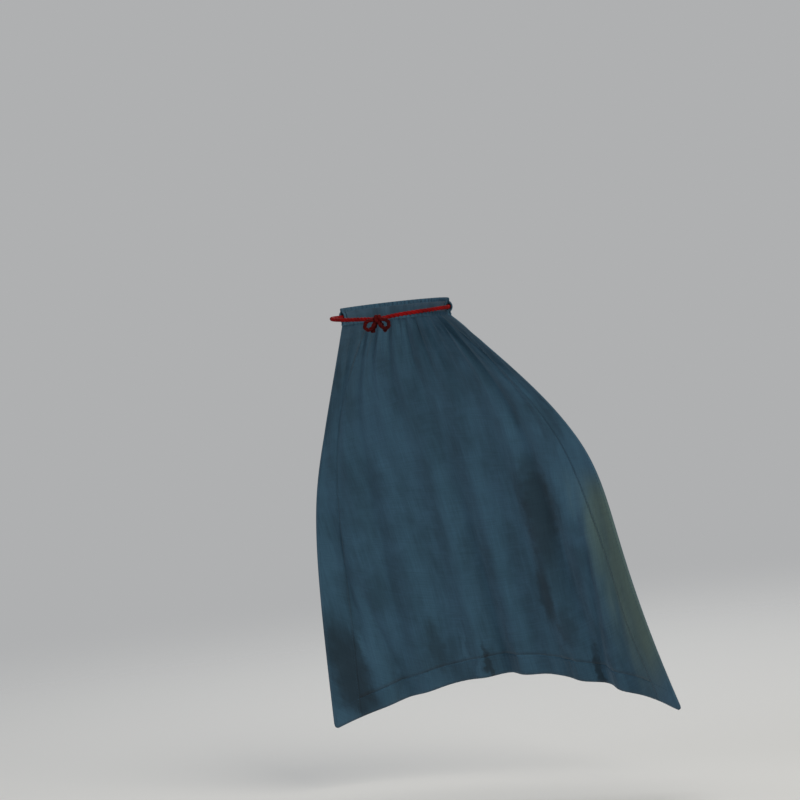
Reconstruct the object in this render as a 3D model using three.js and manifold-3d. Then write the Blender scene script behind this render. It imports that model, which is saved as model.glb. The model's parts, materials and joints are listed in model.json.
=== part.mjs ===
// Superhero cape for a small child, blown back as in flight.
//
// Frame: millimetres, +Z up. The origin is the centre of the neck loop, where the wearer's neck is.
// The wearer faces -Y, so the cloth streams back towards +Y, and the wearer's left is +X.
//
// The neck loop is a channel of cloth with a drawcord through it, tied in a bow at the front. The cape
// hangs from the channel: a short gathered heading that stays with the neck, then the swinging cloth,
// made of an outer panel, a lining, two front facings and a hem facing.

import * as THREE from 'three';
import { mergeVertices } from 'three/addons/utils/BufferGeometryUtils.js';
import loadManifold from 'manifold-3d';

const wasm = await loadManifold();
wasm.setup();

// ---------------------------------------------------------------- sizes

const SEAT_GAP = 0.3; // between pieces that touch

// Neck loop: an ellipse that leans down at the front.
const NECK_HALF_WIDTH = 72;
const NECK_HALF_DEPTH = 60;
const NECK_TILT = THREE.MathUtils.degToRad(2);
const MOUTH_ANGLE = THREE.MathUtils.degToRad(15); // where the channel opens, measured from +X

// Channel round the back of the neck, with the drawcord inside.
const CASING_HEIGHT = 22;
const CASING_THICKNESS = 9;
const CASING_CORNER = 3;
const CASING_STEPS = 24; // sections along the channel
const KEEP_OUT_OVERRUN = 0.08; // radians past each mouth where the cloth is kept off the channel
const CORD_DIAMETER = 5;
const CHANNEL_CLEARANCE = 0.8;

// Tape sewn over the gathers on the neck side of the channel.
const TAPE_HEIGHT = 12;
const TAPE_THICKNESS = 0.9;
const TAPE_SETBACK = THREE.MathUtils.degToRad(4); // from each mouth

// Dense stitching that closes the channel edge beside each mouth.
const TACK_HEIGHT = 12;
const TACK_WIDTH = 2.2;
const TACK_THICKNESS = 0.9;
const TACK_SETBACK = THREE.MathUtils.degToRad(4);

// Bow: a wrapped knot with two loops in front and two knotted tails behind.
const KNOT_CENTRE = new THREE.Vector3(8, -62, -5);
const KNOT_RADIUS = 5.5;
const LOOP_REACH = 17.2; // knot centre to the tip of a loop's centreline
const LOOP_HALF_HEIGHT = 4.9;
const LOOP_DROOP = THREE.MathUtils.degToRad(31); // below the horizontal
const LOOP_LAYER = -(CORD_DIAMETER + 1) / 2; // along Y from the knot centre
const TAIL_LAYER = (CORD_DIAMETER + 0.6) / 2;
const TAIL_SPREAD = THREE.MathUtils.degToRad(30); // from straight down
const TAIL_LENGTH = 6.5;
const TAIL_KNOT_RADIUS = 3;

// Cape outline: the front corner, the middle of the hem, and the handles of the curves that reach them.
const HEM_HALF_WIDTH = 236;
const CORNER_BACK = 244;
const CORNER_DROP = 532;
const HEM_CENTRE_BACK = 285;
const HEM_CENTRE_DROP = 478;
const EDGE_HANDLES = [new THREE.Vector3(229, 236, -244), new THREE.Vector3(173, 90, -185)];
const CENTRE_HANDLES = [new THREE.Vector3(0, 118, -95), new THREE.Vector3(0, 205, -250)];
const HEM_SWEEP = THREE.MathUtils.degToRad(15.6); // half the angle that the hem bends through
const HEM_ARCH_POWER = 1.7; // how the hem rises from its corners to its middle
const HEADING_OVERLAP = 2; // the cloth's top edge above the channel's lower edge

// Cloth layers and folds.
const OUTER_THICKNESS = 1.2;
const INNER_THICKNESS = 1;
const HEADING_THICKNESS = 4; // gathered layers bunched together
const FACING_WIDTH = 35;
const HEM_FACING_WIDTH = 30;
const SEAM_SHIFT = 0.35; // half the gap along the cloth between two pieces that meet at a seam
const FOLD_DEPTH = 8;
const FOLD_WAVES = 3.4; // waves from the middle to a front edge
const FOLD_SIDE_WAVES = 5.3;
const FOLD_SIDE_SHARE = 0.4;

// The cloth swings about an axis along X through the back of the neck loop.
const SWING_AXIS = new THREE.Vector3(0, 40, -5);
const HEADING_RADIUS = 42; // cloth nearer the axis than this stays with the neck

// Grid of the cloth: columns in a facing, columns between the facings, rows above the hem facing.
const FACING_COLUMNS = 3;
const MIDDLE_COLUMNS = 36;
const BODY_ROWS = 13;
const HEM_ROWS = 1;

// Left run of the cord: from the channel's left mouth to the knot.
const LEFT_RUN = [
  [69.5, 15.4, 0.5], [71.2, 9.0, 0.3], [71.9, 2.6, 0.1], [71.8, -3.9, 0.0], [70.9, -10.4, -0.1],
  [69.1, -16.7, -0.2], [66.5, -22.8, -0.4], [63.1, -28.7, -0.6], [58.9, -34.2, -0.8],
  [54.0, -39.3, -1.0], [48.5, -44.0, -1.3], [42.4, -48.3, -1.6], [35.8, -52.0, -2.0],
  [28.8, -55.1, -2.6], [21.4, -57.5, -3.5], [13.8, -59.2, -4.6],
];

// Right run of the cord: from the channel's right mouth to the knot.
const RIGHT_RUN = [
  [-69.5, 15.4, 0.5], [-71.2, 9.1, 0.4], [-71.9, 2.7, 0.4], [-71.9, -3.7, 0.4], [-71.0, -10.1, 0.3],
  [-69.2, -16.3, 0.2], [-66.7, -22.4, 0.0], [-63.4, -28.2, -0.3], [-59.3, -33.7, -0.7],
  [-54.6, -38.7, -1.1], [-49.1, -43.4, -1.5], [-42.1, -47.5, -2.0], [-33.7, -51.1, -2.5],
  [-24.6, -54.1, -3.0], [-15.2, -56.5, -3.5], [-6.1, -58.2, -4.1], [2.2, -59.2, -4.8],
];

// ---------------------------------------------------------------- materials

const clothColour = 0x2d414f;
const liningColour = 0x2b3f4d;
const cordColour = 0x6e1514;

const cloth = () => new THREE.MeshStandardMaterial({ color: clothColour, roughness: 0.9, metalness: 0 });
const lining = () => new THREE.MeshStandardMaterial({ color: liningColour, roughness: 0.85, metalness: 0 });
const cord = () => new THREE.MeshStandardMaterial({ color: cordColour, roughness: 0.75, metalness: 0 });
const tape = () => new THREE.MeshStandardMaterial({ color: 0x22323d, roughness: 0.85, metalness: 0 });
const thread = () => new THREE.MeshStandardMaterial({ color: 0x1b2a34, roughness: 0.6, metalness: 0 });

// ---------------------------------------------------------------- helpers

function mesh(name, geometry, material) {
  const piece = new THREE.Mesh(geometry, material);
  piece.name = name;
  return piece;
}

// Merge a closed geometry's shared vertices, so that only positions are left.
function welded(geometry) {
  const bare = geometry.clone();
  bare.deleteAttribute('normal');
  bare.deleteAttribute('uv');
  return mergeVertices(bare, 1e-4);
}

function toSolid(geometry) {
  const bare = welded(geometry);
  const vertProperties = new Float32Array(bare.attributes.position.array);
  const triVerts = new Uint32Array(bare.index.array);
  return new wasm.Manifold(new wasm.Mesh({ numProp: 3, vertProperties, triVerts }));
}

function toGeometry(solid) {
  const result = solid.getMesh();
  const geometry = new THREE.BufferGeometry();
  geometry.setAttribute('position', new THREE.BufferAttribute(result.vertProperties, 3));
  geometry.setIndex(new THREE.BufferAttribute(result.triVerts, 1));
  const flat = geometry.toNonIndexed();
  flat.computeVertexNormals();
  return flat;
}

// Rectangle with round corners, centred on the path it is swept along.
function roundedRectangle(width, height, radius) {
  const shape = new THREE.Shape();
  const x = width / 2;
  const y = height / 2;
  shape.moveTo(x - radius, -y);
  shape.absarc(x - radius, -y + radius, radius, -Math.PI / 2, 0, false);
  shape.absarc(x - radius, y - radius, radius, 0, Math.PI / 2, false);
  shape.absarc(-x + radius, y - radius, radius, Math.PI / 2, Math.PI, false);
  shape.absarc(-x + radius, -y + radius, radius, Math.PI, Math.PI * 1.5, false);
  return shape;
}

function rectangle(width, height) {
  const shape = new THREE.Shape();
  shape.moveTo(-width / 2, -height / 2);
  shape.lineTo(width / 2, -height / 2);
  shape.lineTo(width / 2, height / 2);
  shape.lineTo(-width / 2, height / 2);
  return shape;
}

function roundSection(radius, sides) {
  const shape = new THREE.Shape();
  for (let i = 0; i < sides; i += 1) {
    const angle = (2 * Math.PI * i) / sides;
    const point = [radius * Math.cos(angle), radius * Math.sin(angle)];
    if (i === 0) shape.moveTo(...point);
    else shape.lineTo(...point);
  }
  return shape;
}

const sweep = (shape, path, steps) =>
  new THREE.ExtrudeGeometry(shape, { steps, curveSegments: 3, bevelEnabled: false, extrudePath: path });

// Part of the neck ellipse, or of a line at a set distance outside it, in the loop's own plane.
class NeckArc extends THREE.Curve {
  constructor(startAngle, endAngle, outset = 0) {
    super();
    this.startAngle = startAngle;
    this.endAngle = endAngle;
    this.outset = outset;
  }

  getPoint(t, target = new THREE.Vector3()) {
    const angle = this.startAngle + (this.endAngle - this.startAngle) * t;
    const across = new THREE.Vector3(NECK_HALF_DEPTH * Math.cos(angle), NECK_HALF_WIDTH * Math.sin(angle), 0);
    across.normalize().multiplyScalar(this.outset);
    target.set(NECK_HALF_WIDTH * Math.cos(angle), NECK_HALF_DEPTH * Math.sin(angle), 0);
    return target.add(across);
  }
}

// ---------------------------------------------------------------- cloth surface

// Half the angle that the neck ellipse turns through from the middle of the back to a mouth.
const neckSweep = Math.PI / 2 - MOUTH_ANGLE;
const clothTop = CASING_HEIGHT / 2 - HEADING_OVERLAP;

// A point of the cloth's top edge, inside the channel's lower edge. side runs from -1 to 1.
function neckline(side) {
  const across = NECK_HALF_WIDTH * Math.sin(neckSweep * side);
  const back = NECK_HALF_DEPTH * Math.cos(neckSweep * side);
  return new THREE.Vector3(across, back * Math.cos(NECK_TILT), back * Math.sin(NECK_TILT) - clothTop);
}

const frontEdge = new THREE.CubicBezierCurve3(
  neckline(1), ...EDGE_HANDLES, new THREE.Vector3(HEM_HALF_WIDTH, CORNER_BACK, -CORNER_DROP),
);
const centreBack = new THREE.CubicBezierCurve3(
  neckline(0), ...CENTRE_HANDLES, new THREE.Vector3(0, HEM_CENTRE_BACK, -HEM_CENTRE_DROP),
);

// The smooth cloth, without folds. side: -1 right front edge, 1 left front edge. down: 0 neck, 1 hem.
function smoothCloth(side, down) {
  const edge = frontEdge.getPoint(down);
  const middle = centreBack.getPoint(down);
  const sweepAngle = neckSweep + (HEM_SWEEP - neckSweep) * Math.pow(down, 0.6);
  const bulge = (Math.cos(sweepAngle * side) - Math.cos(sweepAngle)) / (1 - Math.cos(sweepAngle));
  const drop = Math.pow(side * side + 1e-4, HEM_ARCH_POWER / 2);
  return new THREE.Vector3(
    edge.x * (Math.sin(sweepAngle * side) / Math.sin(sweepAngle)),
    edge.y + (middle.y - edge.y) * bulge,
    middle.z + (edge.z - middle.z) * drop,
  );
}

// Height of the folds. They deepen towards the hem and fade out at the front edges.
function foldHeight(side, down) {
  const depth = FOLD_DEPTH * Math.pow(down, 0.9);
  const fade = 1 - Math.pow(Math.abs(side), 6);
  const main = Math.cos(2 * Math.PI * FOLD_WAVES * side + 0.6 + 0.5 * Math.sin(2.2 * side));
  const small = Math.cos(2 * Math.PI * FOLD_SIDE_WAVES * side + 1.9 - 1.2 * down);
  return depth * fade * (main + FOLD_SIDE_SHARE * small);
}

// Outward direction of a surface: away from the wearer's back.
function outward(surface, side, down) {
  const step = 1e-3;
  const high = Math.min(down + step, 1);
  const low = Math.max(down - step, 0);
  const along = surface(side + step, down).sub(surface(side - step, down));
  const fall = surface(side, high).sub(surface(side, low));
  return along.cross(fall).normalize();
}

// Folds stand out level, so that they don't lift or drop the hem.
function foldedCloth(side, down) {
  const level = outward(smoothCloth, side, down).setZ(0).normalize();
  return smoothCloth(side, down).addScaledVector(level, foldHeight(side, down));
}

const clothPoint = (side, down, offset) =>
  foldedCloth(side, down).addScaledVector(outward(foldedCloth, side, down), offset);

// ---------------------------------------------------------------- cloth grid

const columns = MIDDLE_COLUMNS + 2 * FACING_COLUMNS;
const rows = BODY_ROWS + HEM_ROWS;
const facingColumn = MIDDLE_COLUMNS / columns; // column value, from -1 to 1, where a facing starts
const hemRow = BODY_ROWS / rows; // row value, from 0 to 1, where the hem facing starts

// Share of the cloth's fall that one millimetre up from the hem takes.
function hemMillimetre(side) {
  const step = 0.01;
  return step / smoothCloth(side, 1).distanceTo(smoothCloth(side, 1 - step));
}

const onSeam = (value, seamValue) => Math.abs(value - seamValue) < 1e-6;

// Rows are evenly spread above the hem facing. Only the seam's own row takes the shift, up from the hem.
function downAt(row, side, shift) {
  const millimetre = hemMillimetre(side);
  const hemStart = 1 - HEM_FACING_WIDTH * millimetre;
  if (onSeam(row, hemRow)) return hemStart - shift * millimetre;
  if (row < hemRow) return (hemStart * row) / hemRow;
  return hemStart + ((1 - hemStart) * (row - hemRow)) / (1 - hemRow);
}

// Columns are evenly spread between the facings. Only the seam's own column takes the shift.
function sideAt(column, down, shift) {
  const size = Math.abs(column);
  const millimetre = 1 / frontEdge.getPoint(down).x;
  const facingStart = 1 - FACING_WIDTH * millimetre;
  if (onSeam(size, facingColumn)) return Math.sign(column) * (facingStart - shift * millimetre);
  if (size < facingColumn) return (facingStart * column) / facingColumn;
  return Math.sign(column) * (facingStart + ((1 - facingStart) * (size - facingColumn)) / (1 - facingColumn));
}

// Grid numbers of a sheet's border, in order round it, counterclockwise seen from its front.
function borderOf(wide, tall) {
  const number = (across, up) => up * (wide + 1) + across;
  const border = [];
  for (let across = 0; across < wide; across += 1) border.push(number(across, tall));
  for (let up = tall; up > 0; up -= 1) border.push(number(wide, up));
  for (let across = wide; across > 0; across -= 1) border.push(number(across, 0));
  for (let up = 0; up < tall; up += 1) border.push(number(0, up));
  return border;
}

// A closed slab of cloth over part of the grid, between two offsets from the middle surface. Every
// layer has the same facets, so that layers lie flat on each other.
// sideShift and downShift move the seam lines away from the hem and the front edges.
function clothSlab({ fromColumn, toColumn, fromRow, toRow, low, high, sideShift = 0, downShift = 0 }) {
  const wide = Math.round(((toColumn - fromColumn) / 2) * columns);
  const tall = Math.round((toRow - fromRow) * rows);
  const sheet = new THREE.PlaneGeometry(1, 1, wide, tall);
  const grid = sheet.attributes.position;
  const face = [];
  const back = [];
  for (let i = 0; i < grid.count; i += 1) {
    const column = fromColumn + (grid.getX(i) + 0.5) * (toColumn - fromColumn);
    const row = fromRow + (grid.getY(i) + 0.5) * (toRow - fromRow);
    const down = downAt(row, column, downShift);
    const side = sideAt(column, down, sideShift);
    face.push(...clothPoint(side, down, high));
    back.push(...clothPoint(side, down, low));
  }
  const triangles = [];
  for (let i = 0; i < sheet.index.count; i += 3) {
    const [a, b, c] = sheet.index.array.slice(i, i + 3);
    triangles.push(a, b, c, grid.count + a, grid.count + c, grid.count + b);
  }
  const border = borderOf(wide, tall);
  border.forEach((from, i) => {
    const to = border[(i + 1) % border.length];
    triangles.push(to, from, grid.count + from, to, grid.count + from, grid.count + to);
  });
  const slab = new THREE.BufferGeometry();
  slab.setAttribute('position', new THREE.Float32BufferAttribute([...face, ...back], 3));
  slab.setIndex(triangles);
  return slab;
}

// ---------------------------------------------------------------- neck loop

const neck = new THREE.Group();
neck.rotation.x = NECK_TILT;

const casingPath = new NeckArc(MOUTH_ANGLE, Math.PI - MOUTH_ANGLE);

function casingGeometry() {
  const section = roundedRectangle(CASING_HEIGHT, CASING_THICKNESS, CASING_CORNER);
  section.holes.push(roundSection(CORD_DIAMETER / 2 + CHANNEL_CLEARANCE, 10));
  return sweep(section, casingPath, CASING_STEPS);
}

// Space that the heading leaves free for the channel, in the cape's own frame.
function casingKeepOut() {
  const grown = 2 * SEAT_GAP;
  const section = roundedRectangle(CASING_HEIGHT + grown, CASING_THICKNESS + grown, CASING_CORNER);
  const start = MOUTH_ANGLE - KEEP_OUT_OVERRUN;
  const path = new NeckArc(start, Math.PI - start);
  const geometry = sweep(section, path, CASING_STEPS);
  return toSolid(geometry.rotateX(NECK_TILT));
}

function tapeGeometry() {
  const inset = CASING_THICKNESS / 2 + SEAT_GAP + TAPE_THICKNESS / 2;
  const start = MOUTH_ANGLE + TAPE_SETBACK;
  const path = new NeckArc(start, Math.PI - start, -inset);
  return sweep(rectangle(TAPE_HEIGHT, TAPE_THICKNESS), path, CASING_STEPS);
}

// side: 1 for the wearer's left, -1 for the right.
function barTack(name, side) {
  const fromX = MOUTH_ANGLE + TACK_SETBACK;
  const angle = side > 0 ? fromX : Math.PI - fromX;
  const outset = CASING_THICKNESS / 2 + SEAT_GAP + TACK_THICKNESS / 2;
  const place = new NeckArc(angle, angle, outset).getPoint(0);
  const onPath = new NeckArc(angle, angle).getPoint(0);
  const piece = mesh(name, new THREE.BoxGeometry(TACK_THICKNESS, TACK_WIDTH, TACK_HEIGHT), thread());
  piece.position.copy(place);
  piece.rotation.z = Math.atan2(place.y - onPath.y, place.x - onPath.x);
  return piece;
}

// The part of the drawcord inside the channel stops a seat gap short of each mouth.
function channelCordGeometry() {
  const across = NECK_HALF_WIDTH * Math.sin(MOUTH_ANGLE);
  const back = NECK_HALF_DEPTH * Math.cos(MOUTH_ANGLE);
  const start = MOUTH_ANGLE + SEAT_GAP / Math.hypot(across, back);
  return sweep(roundSection(CORD_DIAMETER / 2, 10), new NeckArc(start, Math.PI - start), 18);
}

neck.add(mesh('neck_casing', casingGeometry(), cloth()));
neck.add(mesh('neck_tape', tapeGeometry(), tape()));
neck.add(barTack('left_bar_tack', 1));
neck.add(barTack('right_bar_tack', -1));
neck.add(mesh('drawcord_back', channelCordGeometry(), cord()));

// ---------------------------------------------------------------- free cord and bow

const RUN_STEPS = 14;
const runPath = (points) => new THREE.CatmullRomCurve3(points.map((p) => new THREE.Vector3(...p)));
const cordSection = () => roundSection(CORD_DIAMETER / 2, 10);

// A direction in the bow's plane: angle is measured below the horizontal, side picks left or right.
function bowDirection(side, angle) {
  return new THREE.Vector3(side * Math.cos(angle), 0, -Math.sin(angle));
}

// A loop leaves the knot, bulges and comes back to it: an open tube with both ends at the knot.
function bowLoop(name, side) {
  const out = bowDirection(side, LOOP_DROOP);
  const up = bowDirection(side, LOOP_DROOP - Math.PI / 2);
  const centre = KNOT_CENTRE.clone().add(new THREE.Vector3(0, LOOP_LAYER, 0));
  const root = KNOT_RADIUS + SEAT_GAP;
  const rootAngle = THREE.MathUtils.degToRad(27);
  const half = [
    [root * Math.cos(rootAngle), root * Math.sin(rootAngle)],
    [LOOP_REACH * 0.48, LOOP_HALF_HEIGHT * 0.84],
    [LOOP_REACH * 0.67, LOOP_HALF_HEIGHT],
    [LOOP_REACH * 0.86, LOOP_HALF_HEIGHT * 0.84],
    [LOOP_REACH * 0.97, LOOP_HALF_HEIGHT * 0.4],
  ];
  const lower = half.map(([along, across]) => [along, -across]).reverse();
  const points = [...half, [LOOP_REACH, 0], ...lower].map(([along, across]) =>
    centre.clone().addScaledVector(out, along).addScaledVector(up, across));
  const path = new THREE.CatmullRomCurve3(points);
  return mesh(name, sweep(roundSection(CORD_DIAMETER / 2, 8), path, 18), cord());
}

const tailRoot = KNOT_RADIUS + SEAT_GAP;

function tailPoint(side, reach) {
  const out = bowDirection(side, Math.PI / 2 - TAIL_SPREAD);
  return KNOT_CENTRE.clone().add(new THREE.Vector3(0, TAIL_LAYER, 0)).addScaledVector(out, reach);
}

function bowTail(name, side) {
  const path = new THREE.LineCurve3(tailPoint(side, tailRoot), tailPoint(side, tailRoot + TAIL_LENGTH));
  return mesh(name, sweep(cordSection(), path, 2), cord());
}

function tailKnot(name, side) {
  const reach = tailRoot + TAIL_LENGTH + SEAT_GAP + TAIL_KNOT_RADIUS;
  const piece = mesh(name, new THREE.SphereGeometry(TAIL_KNOT_RADIUS, 10, 8), cord());
  piece.position.copy(tailPoint(side, reach));
  return piece;
}

const bow = new THREE.Group();
const knot = mesh('bow_knot', new THREE.SphereGeometry(KNOT_RADIUS, 14, 10), cord());
knot.position.copy(KNOT_CENTRE);
bow.add(knot);
bow.add(mesh('drawcord_left', sweep(cordSection(), runPath(LEFT_RUN), RUN_STEPS), cord()));
bow.add(mesh('drawcord_right', sweep(cordSection(), runPath(RIGHT_RUN), RUN_STEPS), cord()));
bow.add(bowLoop('bow_loop_left', 1));
bow.add(bowLoop('bow_loop_right', -1));
bow.add(bowTail('bow_tail_left', 1));
bow.add(bowTail('bow_tail_right', -1));
bow.add(tailKnot('tail_knot_left', 1));
bow.add(tailKnot('tail_knot_right', -1));

// ---------------------------------------------------------------- cape cloth

// A roller about the swing axis, wider than the cape.
function swingRoller(radius) {
  const roller = new THREE.CylinderGeometry(radius, radius, 4 * HEM_HALF_WIDTH, 48);
  roller.rotateZ(Math.PI / 2);
  roller.translate(SWING_AXIS.x, SWING_AXIS.y, SWING_AXIS.z);
  return toSolid(roller);
}

// The heading's roller has its corners on the radius, and the swinging cloth clears them.
const rollerFlat = Math.cos(Math.PI / 48);
const headingRoller = swingRoller(HEADING_RADIUS);
const swingingRoller = swingRoller((HEADING_RADIUS + SEAT_GAP) / rollerFlat);

function heading() {
  const slab = clothSlab({
    fromColumn: -1, toColumn: 1, fromRow: 0, toRow: 4 / rows,
    low: -HEADING_THICKNESS / 2, high: HEADING_THICKNESS / 2,
  });
  const solid = toSolid(slab).intersect(headingRoller).subtract(casingKeepOut());
  return mesh('gathered_heading', toGeometry(solid), cloth());
}

function swingingPiece(name, slab, material) {
  return mesh(name, toGeometry(toSolid(clothSlab(slab)).subtract(swingingRoller)), material);
}

const seam = SEAT_GAP / 2;
const outerLayer = { low: seam, high: seam + OUTER_THICKNESS };
const innerLayer = { low: -seam - INNER_THICKNESS, high: -seam };

const cape = new THREE.Group();
cape.add(heading());
cape.add(swingingPiece('cape_outer', {
  fromColumn: -1, toColumn: 1, fromRow: 0, toRow: 1, ...outerLayer,
}, cloth()));
cape.add(swingingPiece('cape_lining', {
  fromColumn: -facingColumn, toColumn: facingColumn, fromRow: 0, toRow: hemRow, ...innerLayer,
  sideShift: SEAM_SHIFT, downShift: SEAM_SHIFT,
}, lining()));
cape.add(swingingPiece('left_front_facing', {
  fromColumn: facingColumn, toColumn: 1, fromRow: 0, toRow: 1, ...innerLayer, sideShift: -SEAM_SHIFT,
}, cloth()));
cape.add(swingingPiece('right_front_facing', {
  fromColumn: -1, toColumn: -facingColumn, fromRow: 0, toRow: 1, ...innerLayer, sideShift: -SEAM_SHIFT,
}, cloth()));
cape.add(swingingPiece('hem_facing', {
  fromColumn: -facingColumn, toColumn: facingColumn, fromRow: hemRow, toRow: 1, ...innerLayer,
  sideShift: SEAM_SHIFT, downShift: -SEAM_SHIFT,
}, cloth()));

// ---------------------------------------------------------------- whole object

const superheroCape = new THREE.Group();
superheroCape.add(neck, bow, cape);

export default superheroCape;
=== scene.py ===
"""Superhero cape: finished cloth, cords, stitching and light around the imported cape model.

Everything is in metres, in the model's own frame: the origin is the centre of the neck loop, +Z is up, the
wearer faces -Y and the cloth streams back towards +Y. The wearer's left is +X.
"""
import json
import logging
import math
from dataclasses import dataclass, field
from enum import Enum
from functools import partial
from typing import Callable, Iterable, Sequence

import bmesh
import bpy
import numpy as np
from mathutils import Matrix, Vector

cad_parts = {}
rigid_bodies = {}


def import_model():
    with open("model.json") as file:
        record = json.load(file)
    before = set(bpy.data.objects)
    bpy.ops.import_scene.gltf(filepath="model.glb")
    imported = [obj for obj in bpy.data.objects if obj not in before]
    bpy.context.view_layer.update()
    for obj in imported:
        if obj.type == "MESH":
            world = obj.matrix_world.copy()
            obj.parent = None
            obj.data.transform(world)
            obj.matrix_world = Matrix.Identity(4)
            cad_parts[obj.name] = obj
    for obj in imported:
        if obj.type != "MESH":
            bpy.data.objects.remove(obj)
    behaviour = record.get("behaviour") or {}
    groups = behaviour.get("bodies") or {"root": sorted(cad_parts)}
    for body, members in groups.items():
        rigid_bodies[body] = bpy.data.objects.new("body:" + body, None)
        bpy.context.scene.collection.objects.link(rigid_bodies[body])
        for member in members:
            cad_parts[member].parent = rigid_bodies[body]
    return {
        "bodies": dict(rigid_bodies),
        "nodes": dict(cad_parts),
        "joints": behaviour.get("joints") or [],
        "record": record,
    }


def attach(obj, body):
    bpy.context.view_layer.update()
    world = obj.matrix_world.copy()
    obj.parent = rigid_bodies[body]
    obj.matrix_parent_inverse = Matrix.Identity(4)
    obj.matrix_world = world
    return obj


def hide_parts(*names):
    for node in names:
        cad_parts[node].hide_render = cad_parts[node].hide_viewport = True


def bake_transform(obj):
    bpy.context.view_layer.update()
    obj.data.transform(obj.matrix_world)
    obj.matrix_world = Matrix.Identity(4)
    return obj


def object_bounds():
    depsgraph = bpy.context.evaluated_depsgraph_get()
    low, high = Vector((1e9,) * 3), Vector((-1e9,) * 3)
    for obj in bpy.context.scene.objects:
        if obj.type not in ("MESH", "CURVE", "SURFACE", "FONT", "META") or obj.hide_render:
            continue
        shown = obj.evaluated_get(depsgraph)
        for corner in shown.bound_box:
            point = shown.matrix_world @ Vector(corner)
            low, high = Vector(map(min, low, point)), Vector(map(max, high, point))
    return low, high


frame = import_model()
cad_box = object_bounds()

log = logging.getLogger("cape")

MM = 0.001
TURN = 2 * math.pi

Place = Callable[[np.ndarray, np.ndarray], np.ndarray]
Triple = tuple[float, float, float]
Gather = tuple[float, float, float, float]
Colour = tuple[float, float, float, float]
Ink = bpy.types.NodeSocket


class Body(Enum):
    """The rigid bodies of the model that pieces ride on."""

    NECKLINE = "neckline"
    CAPE = "cape"
    LEFT_LOOP = "left_loop"
    RIGHT_LOOP = "right_loop"
    LEFT_TAIL = "left_tail"
    RIGHT_TAIL = "right_tail"


class Side(Enum):
    """The wearer's left or right, as a sign along X."""

    LEFT = 1
    RIGHT = -1


# ------------------------------------------------------------------ geometry helpers


def bezier(points: Sequence[Sequence[float]], t: np.ndarray) -> np.ndarray:
    """Points of a cubic curve.

    Args:
        points: the four control points.
        t: places along the curve, from 0 to 1, in any shape.

    Returns:
        The points, with one more axis than t.
    """
    a, b, c, d = (np.asarray(p, float) for p in points)
    t = np.asarray(t, float)[..., None]
    s = 1 - t
    return s**3 * a + 3 * s * s * t * b + 3 * s * t * t * c + t**3 * d


def unit(vectors: np.ndarray) -> np.ndarray:
    """The vectors at length one, along the last axis."""
    return vectors / np.maximum(np.linalg.norm(vectors, axis=-1, keepdims=True), 1e-12)


def smooth_step(x: np.ndarray, low: float, high: float) -> np.ndarray:
    """0 below low, 1 above high, and a smooth rise between."""
    t = np.clip((x - low) / (high - low), 0, 1)
    return t * t * (3 - 2 * t)


def far_along(points: np.ndarray) -> np.ndarray:
    """How far along a line each of its points lies."""
    return np.concatenate([[0], np.cumsum(np.linalg.norm(np.diff(points, axis=0), axis=1))])


def read_along(where: np.ndarray | float, far: np.ndarray, values: np.ndarray) -> np.ndarray:
    """Values kept at known distances along a line, read at other distances."""
    return np.stack([np.interp(where, far, values[:, k]) for k in range(3)], -1)


def new_piece(name: str, bm: bmesh.types.BMesh, material: bpy.types.Material) -> bpy.types.Object:
    """Makes a smooth-shaded object from a bmesh and links it to the scene.

    Args:
        name: the piece's name.
        bm: its shape, which is freed here.
        material: its finish.

    Returns:
        The new object, at the origin.
    """
    mesh = bpy.data.meshes.new(name)
    bm.to_mesh(mesh)
    bm.free()
    mesh.polygons.foreach_set("use_smooth", [True] * len(mesh.polygons))
    mesh.materials.append(material)
    piece = bpy.data.objects.new(name, mesh)
    bpy.context.scene.collection.objects.link(piece)
    return piece


def bent_grid(
    name: str,
    columns: int,
    rows: int,
    place: Place,
    flat: Place,
    material: bpy.types.Material,
    closed_across: bool = False,
    closed_along: bool = False,
    capped: bool = False,
    edge: Place | None = None,
) -> bpy.types.Object:
    """Makes a piece by bending a flat grid of squares into its shape.

    Args:
        name: the piece's name.
        columns: squares across.
        rows: squares along.
        place: gives a point for each place (across, along) of the grid, both from 0 to 1.
        flat: gives the UV map's two values, in metres, for each place.
        material: the piece's finish.
        closed_across: whether the last column joins the first.
        closed_along: whether the last row joins the first.
        capped: whether open ends get a face.
        edge: gives a value from 0 to 1 that the material reads as worn edges.

    Returns:
        The new object, at the origin.
    """
    bm = bmesh.new()
    bmesh.ops.create_grid(bm, x_segments=columns, y_segments=rows, size=0.5)
    bm.verts.ensure_lookup_table()
    across = np.array([v.co.x + 0.5 for v in bm.verts])
    along = np.array([v.co.y + 0.5 for v in bm.verts])
    points = place(across, along)
    sheet = flat(across, along)
    layer = bm.loops.layers.uv.new("UVMap")
    for face in bm.faces:
        for loop in face.loops:
            loop[layer].uv = sheet[loop.vert.index]
    worn = bm.verts.layers.float.new("edge")
    wear = edge(across, along) if edge else np.zeros(len(across))
    for vert, point, amount in zip(bm.verts, points, wear):
        vert.co = point
        vert[worn] = float(amount)
    if closed_across or closed_along:
        bmesh.ops.remove_doubles(bm, verts=bm.verts, dist=1e-7)
    if capped:
        rim = [e for e in bm.edges if e.is_boundary]
        bmesh.ops.holes_fill(bm, edges=rim, sides=0)
    if closed_across or closed_along:
        bmesh.ops.recalc_face_normals(bm, faces=bm.faces)
    return new_piece(name, bm, material)


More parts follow.
